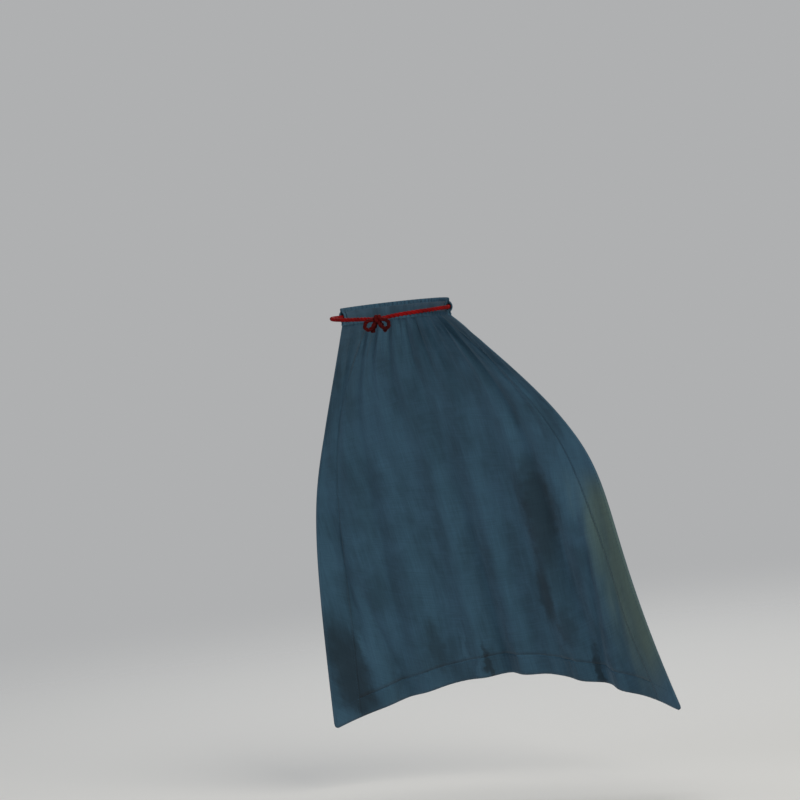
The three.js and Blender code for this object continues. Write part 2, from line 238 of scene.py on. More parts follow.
class Route:
    """A smooth line through chosen points, with side directions that don't twist along it."""

    fewest_samples: int = 8
    fine_samples: int = 24  # between two of the points it goes through

    def __init__(self, points: Sequence[Sequence[float]], step: float = 0.4 * MM) -> None:
        """Draws the line.

        Args:
            points: what the line goes through, in metres.
            step: the distance between its samples.
        """
        fine = self._through(np.asarray(points, float))
        far = far_along(fine)
        count = max(int(far[-1] / step), self.fewest_samples)
        self.length = float(far[-1])
        self.distance = np.linspace(0, self.length, count + 1)
        self.points = read_along(self.distance, far, fine)
        self._frames()

    def _through(self, points: np.ndarray) -> np.ndarray:
        """Draws a Catmull-Rom curve.

        Args:
            points: what the curve goes through, in order.

        Returns:
            The curve, finely sampled.
        """
        first, last = 2 * points[0] - points[1], 2 * points[-1] - points[-2]
        p = np.vstack([first, points, last])
        t = np.linspace(0, 1, self.fine_samples, endpoint=False)[:, None]
        pieces = []
        for a, b, c, d in zip(p[:-3], p[1:-2], p[2:-1], p[3:]):
            cubic = -a + 3 * b - 3 * c + d
            square = 2 * a - 5 * b + 4 * c - d
            pieces.append(0.5 * (2 * b + (c - a) * t + square * t**2 + cubic * t**3))
        return np.vstack(pieces + [points[-1:]])

    def _frames(self) -> None:
        """Carries a side direction along the line without turning it round the line."""
        tangents = unit(np.gradient(self.points, axis=0))
        across = Vector(tangents[0]).orthogonal().normalized()
        sides = [across]
        for before, after in zip(tangents[:-1], tangents[1:]):
            turn = Vector(before).rotation_difference(Vector(after))
            across = (turn @ across).normalized()
            sides.append(across)
        self.tangents = tangents
        self.sides = np.array(sides)
        self.ups = np.cross(tangents, self.sides)

    def at(self, distance: np.ndarray) -> tuple[np.ndarray, np.ndarray, np.ndarray]:
        """Reads the line at some distances along it.

        Args:
            distance: the distances, in metres.

        Returns:
            The points, and the two directions across the line at each.
        """
        read = partial(read_along, distance, self.distance)
        return read(self.points), unit(read(self.sides)), unit(read(self.ups))


@dataclass(frozen=True)
class Rope:
    """A soft cord laid from three strands, which stand out as round lobes that turn along it."""

    diameter: float = 5 * MM
    pitch: float = 15 * MM
    strands: int = 3
    strand_size: float = 0.56  # a strand's radius as a share of the cord's
    around: int = 36
    ring: float = 0.55 * MM
    fewest_rings: int = 6

    def outline(self, angle: np.ndarray) -> np.ndarray:
        """Shapes the cord's section.

        Args:
            angle: round the cord, from the top of a strand.

        Returns:
            The cord's radius at each angle.
        """
        turn = TURN / self.strands
        off = (angle + turn / 2) % turn - turn / 2
        radius = self.diameter / 2
        strand = radius * self.strand_size
        centre = radius - strand
        return centre * np.cos(off) + np.sqrt(np.maximum(strand**2 - (centre * np.sin(off)) ** 2, 0))

    def build(
        self,
        name: str,
        route: Route,
        material: bpy.types.Material,
        swell: Callable[[np.ndarray], np.ndarray] | None = None,
    ) -> bpy.types.Object:
        """Lays the cord along a route.

        Args:
            name: the piece's name.
            route: the cord's middle line.
            material: its finish.
            swell: scales the radius at each distance along the route.

        Returns:
            A closed cord.
        """

        def place(across: np.ndarray, along: np.ndarray) -> np.ndarray:
            """Finds points on the cord's skin.

            Args:
                across: shares of a turn round the cord.
                along: shares of the route.

            Returns:
                The points.
            """
            distance = along * route.length
            middle, side, up = route.at(distance)
            angle = across * TURN
            radius = self.outline(angle - distance / self.pitch * TURN)
            if swell:
                radius = radius * swell(distance)
            radius = radius[:, None]
            return middle + side * radius * np.cos(angle)[:, None] + up * radius * np.sin(angle)[:, None]

        def flat(across: np.ndarray, along: np.ndarray) -> np.ndarray:
            """The yarn's own map, which turns with the strands."""
            strand = (across - along * route.length / self.pitch) * self.strands
            return np.stack([strand * self.diameter, along * route.length], -1)

        rings = max(int(route.length / self.ring), self.fewest_rings)
        return bent_grid(name, self.around, rings, place, flat, material, closed_across=True, capped=True)


# ------------------------------------------------------------------ shader groups


ONE_INPUT = ("SINE", "ABSOLUTE", "FRACT", "SQRT")
COTTON_MAP = {"Flat": "Vector", "Threads": "Float"}


class Shader:
    """Builds a node tree step by step, with short calls for the nodes that cloth and cord need."""

    def __init__(self, tree: bpy.types.NodeTree) -> None:
        """Starts on a material's or a group's tree."""
        self.tree = tree

    def node(self, kind: str, **settings: object) -> bpy.types.Node:
        """Adds a node.

        Args:
            kind: the node's type.
            **settings: its own settings, such as operation.

        Returns:
            The new node.
        """
        made = self.tree.nodes.new(kind)
        for key, value in settings.items():
            setattr(made, key, value)
        return made

    def feed(self, socket: Ink, value: object) -> None:
        """Gives an input its value.

        Args:
            socket: the input.
            value: another node's output, which is linked, or a plain value.
        """
        if isinstance(value, Ink):
            self.tree.links.new(value, socket)
        else:
            socket.default_value = value

    def math(self, operation: str, a: object, b: object = 0.0) -> Ink:
        """Adds a Math node.

        Args:
            operation: what it works out.
            a: its first input.
            b: its second input, for an operation that has one.

        Returns:
            The result.
        """
        made = self.node("ShaderNodeMath", operation=operation)
        self.feed(made.inputs[0], a)
        if operation not in ONE_INPUT:
            self.feed(made.inputs[1], b)
        return made.outputs[0]

    def vector_math(self, operation: str, *vectors: object) -> Ink:
        """Adds a Vector Math node.

        Args:
            operation: what it works out.
            *vectors: its inputs, in order.

        Returns:
            The result: a number for a length, and else a vector.
        """
        made = self.node("ShaderNodeVectorMath", operation=operation)
        for socket, vector in zip(made.inputs, vectors):
            self.feed(socket, vector)
        return made.outputs["Value" if operation == "LENGTH" else "Vector"]

    def split(self, vector: Ink) -> list[Ink]:
        """Takes a vector apart.

        Args:
            vector: the vector.

        Returns:
            Its three numbers.
        """
        made = self.node("ShaderNodeSeparateXYZ")
        self.feed(made.inputs[0], vector)
        return list(made.outputs)

    def noise_node(self, vector: object, scale: float, detail: float, rough: float) -> bpy.types.Node:
        """Adds a Noise Texture node.

        Args:
            vector: the map it is read on.
            scale: how fine it is.
            detail: how many finer layers it has.
            rough: how strong these are.

        Returns:
            The node, whose outputs are a value and a colour.
        """
        made = self.node("ShaderNodeTexNoise")
        for key, value in (("Vector", vector), ("Scale", scale), ("Detail", detail), ("Roughness", rough)):
            self.feed(made.inputs[key], value)
        return made

    def noise(self, vector: object, scale: float, detail: float = 2.0, rough: float = 0.5) -> Ink:
        """A noise value from 0 to 1."""
        return self.noise_node(vector, scale, detail, rough).outputs[0]

    def stretched_noise(
        self, vector: Ink, stretch: Triple, detail: float = 2.0, rough: float = 0.5
    ) -> Ink:
        """A noise value on a map whose three numbers are scaled apart."""
        return self.noise(self.vector_math("MULTIPLY", vector, stretch), 1.0, detail, rough)

    def remap(
        self, value: object, low: float, high: float, to_low: float = 0.0, to_high: float = 1.0
    ) -> Ink:
        """Moves a value smoothly from one range to another, and holds it there.

        Args:
            value: the value.
            low: what becomes to_low.
            high: what becomes to_high.
            to_low: one end of the new range.
            to_high: its other end.

        Returns:
            The new value.
        """
        made = self.node("ShaderNodeMapRange", interpolation_type="SMOOTHSTEP")
        self.feed(made.inputs["Value"], value)
        for key, number in (("From Min", low), ("From Max", high), ("To Min", to_low), ("To Max", to_high)):
            self.feed(made.inputs[key], number)
        return made.outputs[0]

    def mix(self, amount: object, first: object, second: object, blend: str = "MIX") -> Ink:
        """Mixes two colours.

        Args:
            amount: how much of the second shows.
            first: the colour below.
            second: the colour above.
            blend: how they mix.

        Returns:
            The mixed colour.
        """
        made = self.node("ShaderNodeMix", data_type="RGBA", blend_type=blend)
        self.feed(made.inputs["Factor"], amount)
        for socket, colour in zip(made.inputs[6:8], (first, second)):  # the inputs for colours
            self.feed(socket, colour)
        return made.outputs[2]

    def group(self, tree: bpy.types.NodeTree, **values: object) -> bpy.types.Node:
        """Places a node group.

        Args:
            tree: the group.
            **values: its inputs by name.

        Returns:
            The group's node.
        """
        made = self.node("ShaderNodeGroup", node_tree=tree)
        for key, value in values.items():
            self.feed(made.inputs[key], value)
        return made

    def relief(self, height: Ink, strength: float, depth: float, surface: bpy.types.Node) -> None:
        """Gives a surface its fine relief.

        Args:
            height: the relief's height, from 0 to 1.
            strength: how strongly it shows.
            depth: the height of 1, in metres.
            surface: the Principled BSDF that takes it.
        """
        made = self.node("ShaderNodeBump")
        for key, value in (("Strength", strength), ("Distance", depth), ("Height", height)):
            self.feed(made.inputs[key], value)
        self.feed(surface.inputs["Normal"], made.outputs[0])


def new_group(
    name: str, inputs: dict[str, str], outputs: dict[str, str]
) -> tuple[Shader, dict[str, Ink], dict[str, Ink]]:
    """Starts a shader node group.

    Args:
        name: the group's name.
        inputs: socket names and their kinds, such as Float, Vector or Color.
        outputs: the same for the outputs.

    Returns:
        The group's shader, what comes in by name, and the sockets to feed by name.
    """
    tree = bpy.data.node_groups.new(name, "ShaderNodeTree")
    for way, sockets in (("INPUT", inputs), ("OUTPUT", outputs)):
        for socket, kind in sockets.items():
            tree.interface.new_socket(name=socket, in_out=way, socket_type=f"NodeSocket{kind}")
    shader = Shader(tree)
    given, out = shader.node("NodeGroupInput"), shader.node("NodeGroupOutput")
    return shader, {key: given.outputs[key] for key in inputs}, {key: out.inputs[key] for key in outputs}


def weave_group() -> bpy.types.NodeTree:
    """Plain weave with uneven threads, on a map in metres.

    Returns:
        The group. Its Height is the threads' relief, and Slub is the streaks of thicker yarn.
    """
    shader, given, out = new_group("woven_cloth", COTTON_MAP, {"Height": "Float", "Slub": "Float"})
    u, v, _ = shader.split(given["Flat"])
    shift = shader.math("MULTIPLY", shader.noise(given["Flat"], 90.0), 1.2 * MM)
    waves = []
    for thread in (shader.math("ADD", u, shift), shader.math("SUBTRACT", v, shift)):
        turns = shader.math("MULTIPLY", thread, given["Threads"])
        waves.append(shader.math("SINE", shader.math("MULTIPLY", turns, math.pi)))
    over = shader.remap(shader.math("MULTIPLY", *waves), -0.35, 0.35)
    under = shader.math("SUBTRACT", 1.0, over)
    warp = shader.math("MULTIPLY", shader.math("ABSOLUTE", waves[0]), over)
    weft = shader.math("MULTIPLY", shader.math("ABSOLUTE", waves[1]), under)
    thick_yarns = ((900.0, 26.0, 1.0), (26.0, 900.0, 1.0))
    streaks = [shader.stretched_noise(given["Flat"], stretch, rough=0.6) for stretch in thick_yarns]
    slub = shader.math("MULTIPLY", shader.math("ADD", *streaks), 0.5)
    threads = shader.math("ADD", warp, weft)
    shader.feed(out["Height"], shader.math("ADD", threads, shader.math("MULTIPLY", slub, 0.8)))
    shader.feed(out["Slub"], slub)
    return shader.tree


def herringbone_group() -> bpy.types.NodeTree:
    """A twill whose slant turns back and forth in narrow stripes, on a map in metres.

    Returns:
        The group. Its Height is the twill's relief and Slub its uneven threads.
    """
    shader, given, out = new_group("herringbone_tape", COTTON_MAP, {"Height": "Float", "Slub": "Float"})
    u, v, _ = shader.split(given["Flat"])
    stripe = shader.math("FRACT", shader.math("MULTIPLY", v, 240.0))
    turned = shader.math("ABSOLUTE", shader.math("SUBTRACT", stripe, 0.5))
    slant = shader.math("ADD", shader.math("MULTIPLY", turned, 1 / 120), u)
    turns = shader.math("MULTIPLY", slant, given["Threads"])
    wave = shader.math("SINE", shader.math("MULTIPLY", turns, TURN))
    shader.feed(out["Height"], shader.remap(wave, -0.8, 0.8))
    slub = shader.stretched_noise(given["Flat"], (700.0, 90.0, 1.0))
    shader.feed(out["Slub"], shader.math("ADD", shader.math("MULTIPLY", wave, 0.12), slub))
    return shader.tree


def dye_group() -> bpy.types.NodeTree:
    """Uneven dye in soft blotches and long strokes down the cloth.

    Returns:
        The group. Blotch and Stroke run from 0 to 1.
    """
    shader, given, out = new_group(
        "uneven_dye", {"Flat": "Vector", "Place": "Vector"}, {"Blotch": "Float", "Stroke": "Float"}
    )
    blotch = shader.noise(given["Place"], 17.0, 4.0, 0.62)
    shader.feed(out["Blotch"], shader.remap(blotch, 0.34, 0.68))
    stroke = shader.stretched_noise(given["Flat"], (46.0, 8.0, 1.0), 3.0, 0.55)
    shader.feed(out["Stroke"], shader.remap(stroke, 0.36, 0.7))
    return shader.tree


def stroke_group() -> bpy.types.NodeTree:
    """One brushed patch of painted shade or painted light, with ragged edges, on a map in metres.

    Returns:
        The group. Size holds one over the patch's half width and half length. Mask runs from 0 to 1.
    """
    shader, given, out = new_group(
        "dye_stroke", {"Flat": "Vector", "Centre": "Vector", "Size": "Vector"}, {"Mask": "Float"}
    )
    ragged = shader.noise_node(given["Flat"], 55.0, 4.0, 0.6).outputs["Color"]
    moved = shader.vector_math("MULTIPLY_ADD", ragged, (STROKE_WANDER, STROKE_WANDER, 0.0), given["Flat"])
    from_centre = shader.vector_math("SUBTRACT", moved, given["Centre"])
    far = shader.vector_math("LENGTH", shader.vector_math("MULTIPLY", from_centre, given["Size"]))
    shader.feed(out["Mask"], shader.remap(far, 1.35, 0.45))
    return shader.tree


def yarn_group() -> bpy.types.NodeTree:
    """Fibres that run along a strand, on a map in metres.

    Returns:
        The group. Its Height is the relief and Tone the light and dark fibres.
    """
    shader, given, out = new_group("yarn_fibres", {"Flat": "Vector"}, {"Height": "Float", "Tone": "Float"})
    u, v, _ = shader.split(given["Flat"])
    slant = shader.math("ADD", shader.math("MULTIPLY", u, 1500.0), shader.math("MULTIPLY", v, 420.0))
    ply = shader.math("ABSOLUTE", shader.math("SINE", slant))
    fibre = shader.stretched_noise(given["Flat"], (2600.0, 300.0, 1.0), 3.0, 0.6)
    shader.feed(out["Height"], shader.math("ADD", shader.math("MULTIPLY", ply, 0.7), fibre))
    shader.feed(out["Tone"], fibre)
    return shader.tree


@dataclass(frozen=True)
class Groups:
    """The shared shader groups."""

    weave: bpy.types.NodeTree
    herringbone: bpy.types.NodeTree
    dye: bpy.types.NodeTree
    stroke: bpy.types.NodeTree
    yarn: bpy.types.NodeTree


def linear(code: str) -> Colour:
    """Turns a screen colour into linear values.

    Args:
        code: the colour, such as 2d414f.

    Returns:
        Red, green, blue and full opacity.
    """
    values = [int(code[k : k + 2], 16) / 255 for k in (0, 2, 4)]
    red, green, blue = (c / 12.92 if c <= 0.04045 else ((c + 0.055) / 1.055) ** 2.4 for c in values)
    return red, green, blue, 1.0


# ------------------------------------------------------------------ finishes


STROKE_WANDER = 30 * MM  # how far noise pushes a brushed patch's edge about


@dataclass(frozen=True)
class Stroke:
    """A soft patch on the flat cloth: painted shade in the dark list, painted light in the pale one."""

    across: float
    down: float
    half_width: float
    half_length: float
    amount: float


# Painted shade: darker patches where shade falls, beside the wearer's body and low towards the right front
# edge.
PAINTED_SHADE_STROKES = (
    Stroke(0.106, 0.350, 0.021, 0.085, 0.85),
    Stroke(0.087, 0.450, 0.014, 0.034, 0.7),
    Stroke(0.111, 0.490, 0.015, 0.020, 0.6),
    Stroke(0.136, 0.537, 0.006, 0.024, 0.85),
    Stroke(-0.226, 0.553, 0.027, 0.052, 0.9),
    Stroke(-0.030, 0.522, 0.0045, 0.026, 0.9),
    Stroke(-0.098, 0.500, 0.011, 0.030, 0.5),
)
# Painted light: paler patches where light falls on the inside of the cape.
PAINTED_LIGHT_STROKES = (
    Stroke(0.165, 0.330, 0.018, 0.040, 0.8),
    Stroke(-0.192, 0.520, 0.013, 0.020, 0.7),
    Stroke(-0.057, 0.500, 0.0045, 0.022, 0.7),
    Stroke(-0.042, 0.523, 0.0045, 0.016, 0.6),
    Stroke(0.243, 0.598, 0.027, 0.020, 0.7),
    Stroke(-0.243, 0.605, 0.027, 0.016, 0.7),
)


class FinishTree:
    """A material under way: its tree, its shader and the maps that its patterns are read on."""

    def __init__(self, name: str) -> None:
        """Starts a material.

        Args:
            name: its name.
        """
        self.material = bpy.data.materials.new(name)
        self.material.use_nodes = True
        self.shader = Shader(self.material.node_tree)
        self.surface = self.material.node_tree.nodes["Principled BSDF"]
        coordinates = self.shader.node("ShaderNodeTexCoord")
        self.flat, self.place = coordinates.outputs["UV"], coordinates.outputs["Object"]


@dataclass(frozen=True)
class ClothFinish:
    """A matt woven cloth with uneven dye; where brushed, it also carries painted shade, painted light and a
    painted warm highlight.
    """

    name: str
    mid: str
    dark: str
    light: str
    threads: float = 1150.0  # threads in a metre
    relief: float = 0.35
    relief_depth: float = 0.35 * MM
    sheen: float = 0.06
    sheen_roughness: float = 0.55
    specular: float = 0.14
    roughness: tuple[float, float] = (0.9, 0.8)
    streaks: float = 0.6
    slub_shade: tuple[float, float] = (0.88, 1.1)
    worn: str = "5b6f7c"
    worn_amount: float = 0.12
    herringbone: bool = False
    brushed: bool = False  # whether the painted shade and painted light patches and the painted warm highlight show
    # The colours of the painted shade patches and of the painted light patches.
    painted_shade_colour: str = "1e2f3a"
    pale: str = "37566a"
    painted_warm_light: str = "4d5f5a"  # the painted warm highlight along the left front edge, an olive cast
    painted_warm_light_amount: float = 0.9
    painted_warm_light_inner: tuple[float, float] = (0.68, 0.93)  # shares of half the cloth's width where the painted highlight sets in
    painted_warm_light_top: tuple[float, float] = (0.27, 0.37)  # metres down the flat cloth where it sets in
    painted_warm_light_bottom: tuple[float, float] = (0.6, 0.545)  # and where it has faded again
    painted_warm_light_wander: float = 0.07
    half_neck: float = 0.15  # half the flat cloth's width at the neck
    widening: float = 0.197  # how much that grows for each metre down

    def material(self, groups: Groups) -> bpy.types.Material:
        """Builds the material.

        Args:
            groups: the shared shader groups.

        Returns:
            The finished material.
        """
        cloth = FinishTree(self.name)
        shader, surface = cloth.shader, cloth.surface
        pattern = groups.herringbone if self.herringbone else groups.weave
        weave = shader.group(pattern, Flat=cloth.flat, Threads=self.threads).outputs
        dye = shader.group(groups.dye, Flat=cloth.flat, Place=cloth.place).outputs
        colour = shader.mix(dye["Blotch"], linear(self.dark), linear(self.mid))
        colour = shader.mix(shader.math("MULTIPLY", dye["Stroke"], self.streaks), colour, linear(self.light))
        if self.brushed:
            # Painted shade and painted light, brushed on in patches.
            for strokes, code in ((PAINTED_SHADE_STROKES, self.painted_shade_colour), (PAINTED_LIGHT_STROKES, self.pale)):
                colour = self._brush_painted_light_and_shade(cloth, groups, colour, strokes, linear(code))
            # Painted warm highlight: an olive cast along the lower left front edge, where the warm key light
            # falls.
            colour = shader.mix(self._painted_warm_light_mask(cloth, dye["Stroke"]), colour, linear(self.painted_warm_light))
        slub = shader.remap(weave["Slub"], 0.35, 0.65, *self.slub_shade)
        grey = shader.node("ShaderNodeCombineXYZ")
        for socket in grey.inputs:
            shader.feed(socket, slub)
        colour = shader.mix(1.0, colour, grey.outputs[0], "MULTIPLY")
        edge = shader.node("ShaderNodeAttribute", attribute_name="edge").outputs["Fac"]
        colour = shader.mix(shader.math("MULTIPLY", edge, self.worn_amount), colour, linear(self.worn))
        shader.feed(surface.inputs["Base Color"], colour)
        shader.feed(surface.inputs["Roughness"], shader.remap(dye["Blotch"], 0.0, 1.0, *self.roughness))
        surface.inputs["Specular IOR Level"].default_value = self.specular
        surface.inputs["Sheen Weight"].default_value = self.sheen
        surface.inputs["Sheen Roughness"].default_value = self.sheen_roughness
        shader.relief(weave["Height"], self.relief, self.relief_depth, surface)
        return cloth.material

    @staticmethod
    def _brush_painted_light_and_shade(
        cloth: FinishTree, groups: Groups, colour: Ink, strokes: Sequence[Stroke], dye: Colour
    ) -> Ink:
        """Brushes patches of painted shade, and in a second call painted light, over a colour.

        Args:
            cloth: the material under way.
            groups: the shared shader groups.
            colour: what lies below.
            strokes: where the patches are.
            dye: the patches' colour, the painted shade's in one call and the painted light's in the other.

        Returns:
            The brushed colour.
        """
        shader = cloth.shader
        for stroke in strokes:
            centre = (stroke.across + STROKE_WANDER / 2, stroke.down + STROKE_WANDER / 2, 0.0)
            size = (1 / stroke.half_width, 1 / stroke.half_length, 0.0)
            patch = shader.group(groups.stroke, Flat=cloth.flat, Centre=centre, Size=size)
            colour = shader.mix(shader.math("MULTIPLY", patch.outputs[0], stroke.amount), colour, dye)
        return colour

    def _painted_warm_light_mask(self, cloth: FinishTree, streaks: Ink) -> Ink:
        """Finds where the painted warm highlight lies, an olive cast along the lower left front edge.

        Args:
            cloth: the material under way.
            streaks: the dye's strokes, which ruffle the painted highlight's inner edge.

        Returns:
            How strongly the painted highlight shows.
        """
        shader = cloth.shader
        u, v, _ = shader.split(cloth.flat)
        half = shader.math("ADD", shader.math("MULTIPLY", v, self.widening), self.half_neck)
        ruffle = shader.math("MULTIPLY", shader.math("SUBTRACT", streaks, 0.5), self.painted_warm_light_wander)
        near = shader.remap(shader.math("ADD", shader.math("DIVIDE", u, half), ruffle), *self.painted_warm_light_inner)
        low, high = shader.remap(v, *self.painted_warm_light_top), shader.remap(v, *self.painted_warm_light_bottom)
        band = shader.math("MULTIPLY", near, shader.math("MULTIPLY", low, high))
        return shader.math("MULTIPLY", band, self.painted_warm_light_amount)


@dataclass(frozen=True)
class CordFinish:
    """A soft cord of twisted yarn."""

    name: str
    mid: str
    dark: str
    light: str
    fibres: float = 0.55  # how strongly the light fibres show
    specular: float = 0.06
    roughness: tuple[float, float] = (0.62, 0.85)
    relief: float = 0.6
    relief_depth: float = 0.25 * MM

    def material(self, groups: Groups) -> bpy.types.Material:
        """Builds the material.

        Args:
            groups: the shared shader groups.

        Returns:
            The finished material.
        """
        cord = FinishTree(self.name)
        shader, surface = cord.shader, cord.surface
        yarn = shader.group(groups.yarn, Flat=cord.flat).outputs
        patch = shader.noise(cord.place, 70.0, 3.0)
        colour = shader.mix(shader.remap(patch, 0.3, 0.7), linear(self.dark), linear(self.mid))
        fibre = shader.remap(yarn["Tone"], 0.4, 0.75, 0.0, self.fibres)
        shader.feed(surface.inputs["Base Color"], shader.mix(fibre, colour, linear(self.light)))
        shader.feed(surface.inputs["Roughness"], shader.remap(yarn["Tone"], 0.3, 0.7, *self.roughness))
        surface.inputs["Specular IOR Level"].default_value = self.specular
        shader.relief(yarn["Height"], self.relief, self.relief_depth, surface)
        return cord.material


class Finishes:
    """Every finish of the cape, built once."""

    def __init__(self) -> None:
        """Builds the shared groups and the materials."""
        groups = Groups(weave_group(), herringbone_group(), dye_group(), stroke_group(), yarn_group())
        # The lining and facings carry the painted shade, painted light and painted warm highlight.
        slate = dict(mid="304d61", dark="284151", light="355569", brushed=True)
        twill = dict(mid="2a4050", dark="20323f", light="365062", threads=620.0, relief=0.6, herringbone=True)
        thread = CordFinish("sewing_thread", mid="355064", dark="283f50", light="486375")
        cord = CordFinish("dark_red_cord", mid="780607", dark="540405", light="861110")
        # The bow is tied from the drawcord itself, so its darker colours are painted shade for the knot's
        # folds and overlaps.
        bow = CordFinish("deep_red_bow_cord", mid="480607", dark="240303", light="580f0e")
        outer = ClothFinish("slate_cape_cloth", mid="2e4a5d", dark="294353", light="325064")
        self.outer = outer.material(groups)
        self.facing = ClothFinish("slate_facing_cloth", **slate).material(groups)
        self.lining = ClothFinish("slate_lining_cloth", threads=1500.0, relief=0.22, **slate).material(groups)
        self.tape = ClothFinish("neck_tape_cotton", **twill).material(groups)
        self.thread, self.cord, self.bow = (finish.material(groups) for finish in (thread, cord, bow))


# ------------------------------------------------------------------ the neck loop's line


@dataclass(frozen=True)
class NeckLoop:
    """The ellipse that the neck channel and its cord follow, leaning down at the front."""

    half_width: float = 72 * MM
    half_depth: float = 60 * MM
    tilt: float = math.radians(2)
    mouth: float = math.radians(15)  # where the channel opens, measured from +X

    def point(self, angle: np.ndarray, outset: np.ndarray, rise: np.ndarray) -> np.ndarray:
        """Points beside the loop.

        Args:
            angle: round the loop, from +X towards +Y.
            outset: distance outwards from the loop's line.
            rise: distance up from the loop's own plane.

        Returns:
            The points in the model's frame.
        """
        cos, sin, level = np.cos(angle), np.sin(angle), np.zeros_like(angle)
        out = unit(np.stack([self.half_depth * cos, self.half_width * sin, level], -1))
        flat = np.stack([self.half_width * cos, self.half_depth * sin, level], -1)
        flat = flat + out * np.asarray(outset)[..., None]
        x, y, z = flat[..., 0], flat[..., 1], rise
        upright, lean = math.cos(self.tilt), math.sin(self.tilt)
        return np.stack([x, y * upright - z * lean, y * lean + z * upright], -1)


# ------------------------------------------------------------------ cape cloth


@dataclass(frozen=True)
class CapeShape:
    """The cape's outline and its folds, as a surface over side (-1 to 1) and down (0 neck to 1 hem)."""

    neck: NeckLoop
    hem_half_width: float = 236 * MM
    corner_back: float = 244 * MM
    corner_drop: float = 532 * MM
    hem_centre_back: float = 285 * MM
    hem_centre_drop: float = 478 * MM
    edge_handles: tuple[Triple, Triple] = ((229 * MM, 236 * MM, -244 * MM), (173 * MM, 90 * MM, -185 * MM))
    centre_handles: tuple[Triple, Triple] = ((0, 118 * MM, -95 * MM), (0, 205 * MM, -250 * MM))
    hem_sweep: float = math.radians(15.6)
    arch_power: float = 1.7
    opening: float = 0.6  # the lower, the sooner the neck's round opens out
    top_drop: float = 9 * MM  # the cloth's top edge below the loop's line
    fold_depth: float = 6.8 * MM
    fold_waves: float = 3.4
    side_waves: float = 5.3
    side_share: float = 0.4
    edge_calm: float = 4.5  # the higher, the closer to the front edges the folds reach
    growth: float = 0.9  # how the folds deepen on the way down
    # Gathers under the channel: waves from the middle to an edge, depth, how far down they reach, phase.
    gathers: tuple[Gather, ...] = (
        (14.0, 1.3 * MM, 0.10, 0.4),
        (9.3, 2.0 * MM, 0.20, 2.1),
        (6.1, 2.6 * MM, 0.42, 4.4),
    )
    pucker_depth: float = 0.3 * MM
    pucker_waves: int = 31
    neck_half_flat: float = 0.15  # half the cloth's width at the neck before it is gathered
    hem_half_flat: float = 0.265
    centre_flat: float = 0.530
    edge_flat: float = 0.615

    def neckline(self, side: float) -> np.ndarray:
        """Finds a point of the cloth's top edge, inside the channel's lower edge.

        Args:
            side: from -1 at the right front edge to 1 at the left.

        Returns:
            The point.
        """
        sweep = (math.pi / 2 - self.neck.mouth) * side
        across = self.neck.half_width * math.sin(sweep)
        back = self.neck.half_depth * math.cos(sweep)
        upright, lean = math.cos(self.neck.tilt), math.sin(self.neck.tilt)
        return np.array([across, back * upright, back * lean - self.top_drop])

    def edge(self, down: np.ndarray) -> np.ndarray:
        """The left front edge."""
        corner = (self.hem_half_width, self.corner_back, -self.corner_drop)
        return bezier((self.neckline(1), *self.edge_handles, corner), down)

    def middle(self, down: np.ndarray) -> np.ndarray:
        """The centre back line."""
        hem = (0, self.hem_centre_back, -self.hem_centre_drop)
        return bezier((self.neckline(0), *self.centre_handles, hem), down)

    def smooth(self, side: np.ndarray, down: np.ndarray) -> np.ndarray:
        """Lays out the cloth without folds.

        Args:
            side: from -1 at the right front edge to 1 at the left.
            down: from 0 at the neck to 1 at the hem.

        Returns:
            The points.
        """
        edge, middle = self.edge(down), self.middle(down)
        neck_sweep = math.pi / 2 - self.neck.mouth
        sweep = neck_sweep + (self.hem_sweep - neck_sweep) * np.power(np.maximum(down, 0), self.opening)
        bulge = (np.cos(sweep * side) - np.cos(sweep)) / (1 - np.cos(sweep))
        drop = np.power(side * side + 1e-4, self.arch_power / 2)
        x = edge[..., 0] * np.sin(sweep * side) / np.sin(sweep)
        y = edge[..., 1] + (middle[..., 1] - edge[..., 1]) * bulge
        z = middle[..., 2] + (edge[..., 2] - middle[..., 2]) * drop
        return np.stack([x, y, z], -1)

    def fold_height(self, side: np.ndarray, down: np.ndarray) -> np.ndarray:
        """Works out the folds: wide ones that deepen to the hem, and gathers that fade below the neck.

        Args:
            side: from -1 at the right front edge to 1 at the left.
            down: from 0 at the neck to 1 at the hem.

        Returns:
            How far the cloth stands out at each place.
        """
        fade = 1 - np.abs(side) ** self.edge_calm
        main = np.cos(TURN * self.fold_waves * side + 0.6 + 0.5 * np.sin(2.2 * side))
        small = np.cos(TURN * self.side_waves * side + 1.9 - 1.2 * down)
        deepening = self.fold_depth * np.power(np.maximum(down, 0), self.growth)
        height = deepening * (main + self.side_share * small)
        for waves, depth, reach, phase in self.gathers:
            drift = 0.9 * np.sin(4.3 * side + phase) + 0.5 * np.sin(9.7 * side - 2 * phase) + 1.5 * down
            strength = depth * np.exp(-down / reach) * smooth_step(down, -0.02, 0.05)
            height = height + strength * np.cos(TURN * waves * side + phase + drift)
        hem = smooth_step(down, 0.92, 0.975) * (1 - 0.5 * smooth_step(down, 0.985, 1.0))
        pucker = np.cos(TURN * self.pucker_waves * side + 2 * np.sin(11 * side))
        return (height + self.pucker_depth * hem * pucker) * fade

    def normal(self, surface: Place, side: np.ndarray, down: np.ndarray) -> np.ndarray:
        """Finds a surface's outward direction, away from the wearer.

        Args:
            surface: gives its points.
            side: from -1 at the right front edge to 1 at the left.
            down: from 0 at the neck to 1 at the hem.

        Returns:
            The direction at each place, at length one.
        """
        step = 1e-3
        along = surface(side + step, down) - surface(side - step, down)
        fall = surface(side, np.minimum(down + step, 1)) - surface(side, np.maximum(down - step, 0))
        return unit(np.cross(along, fall))

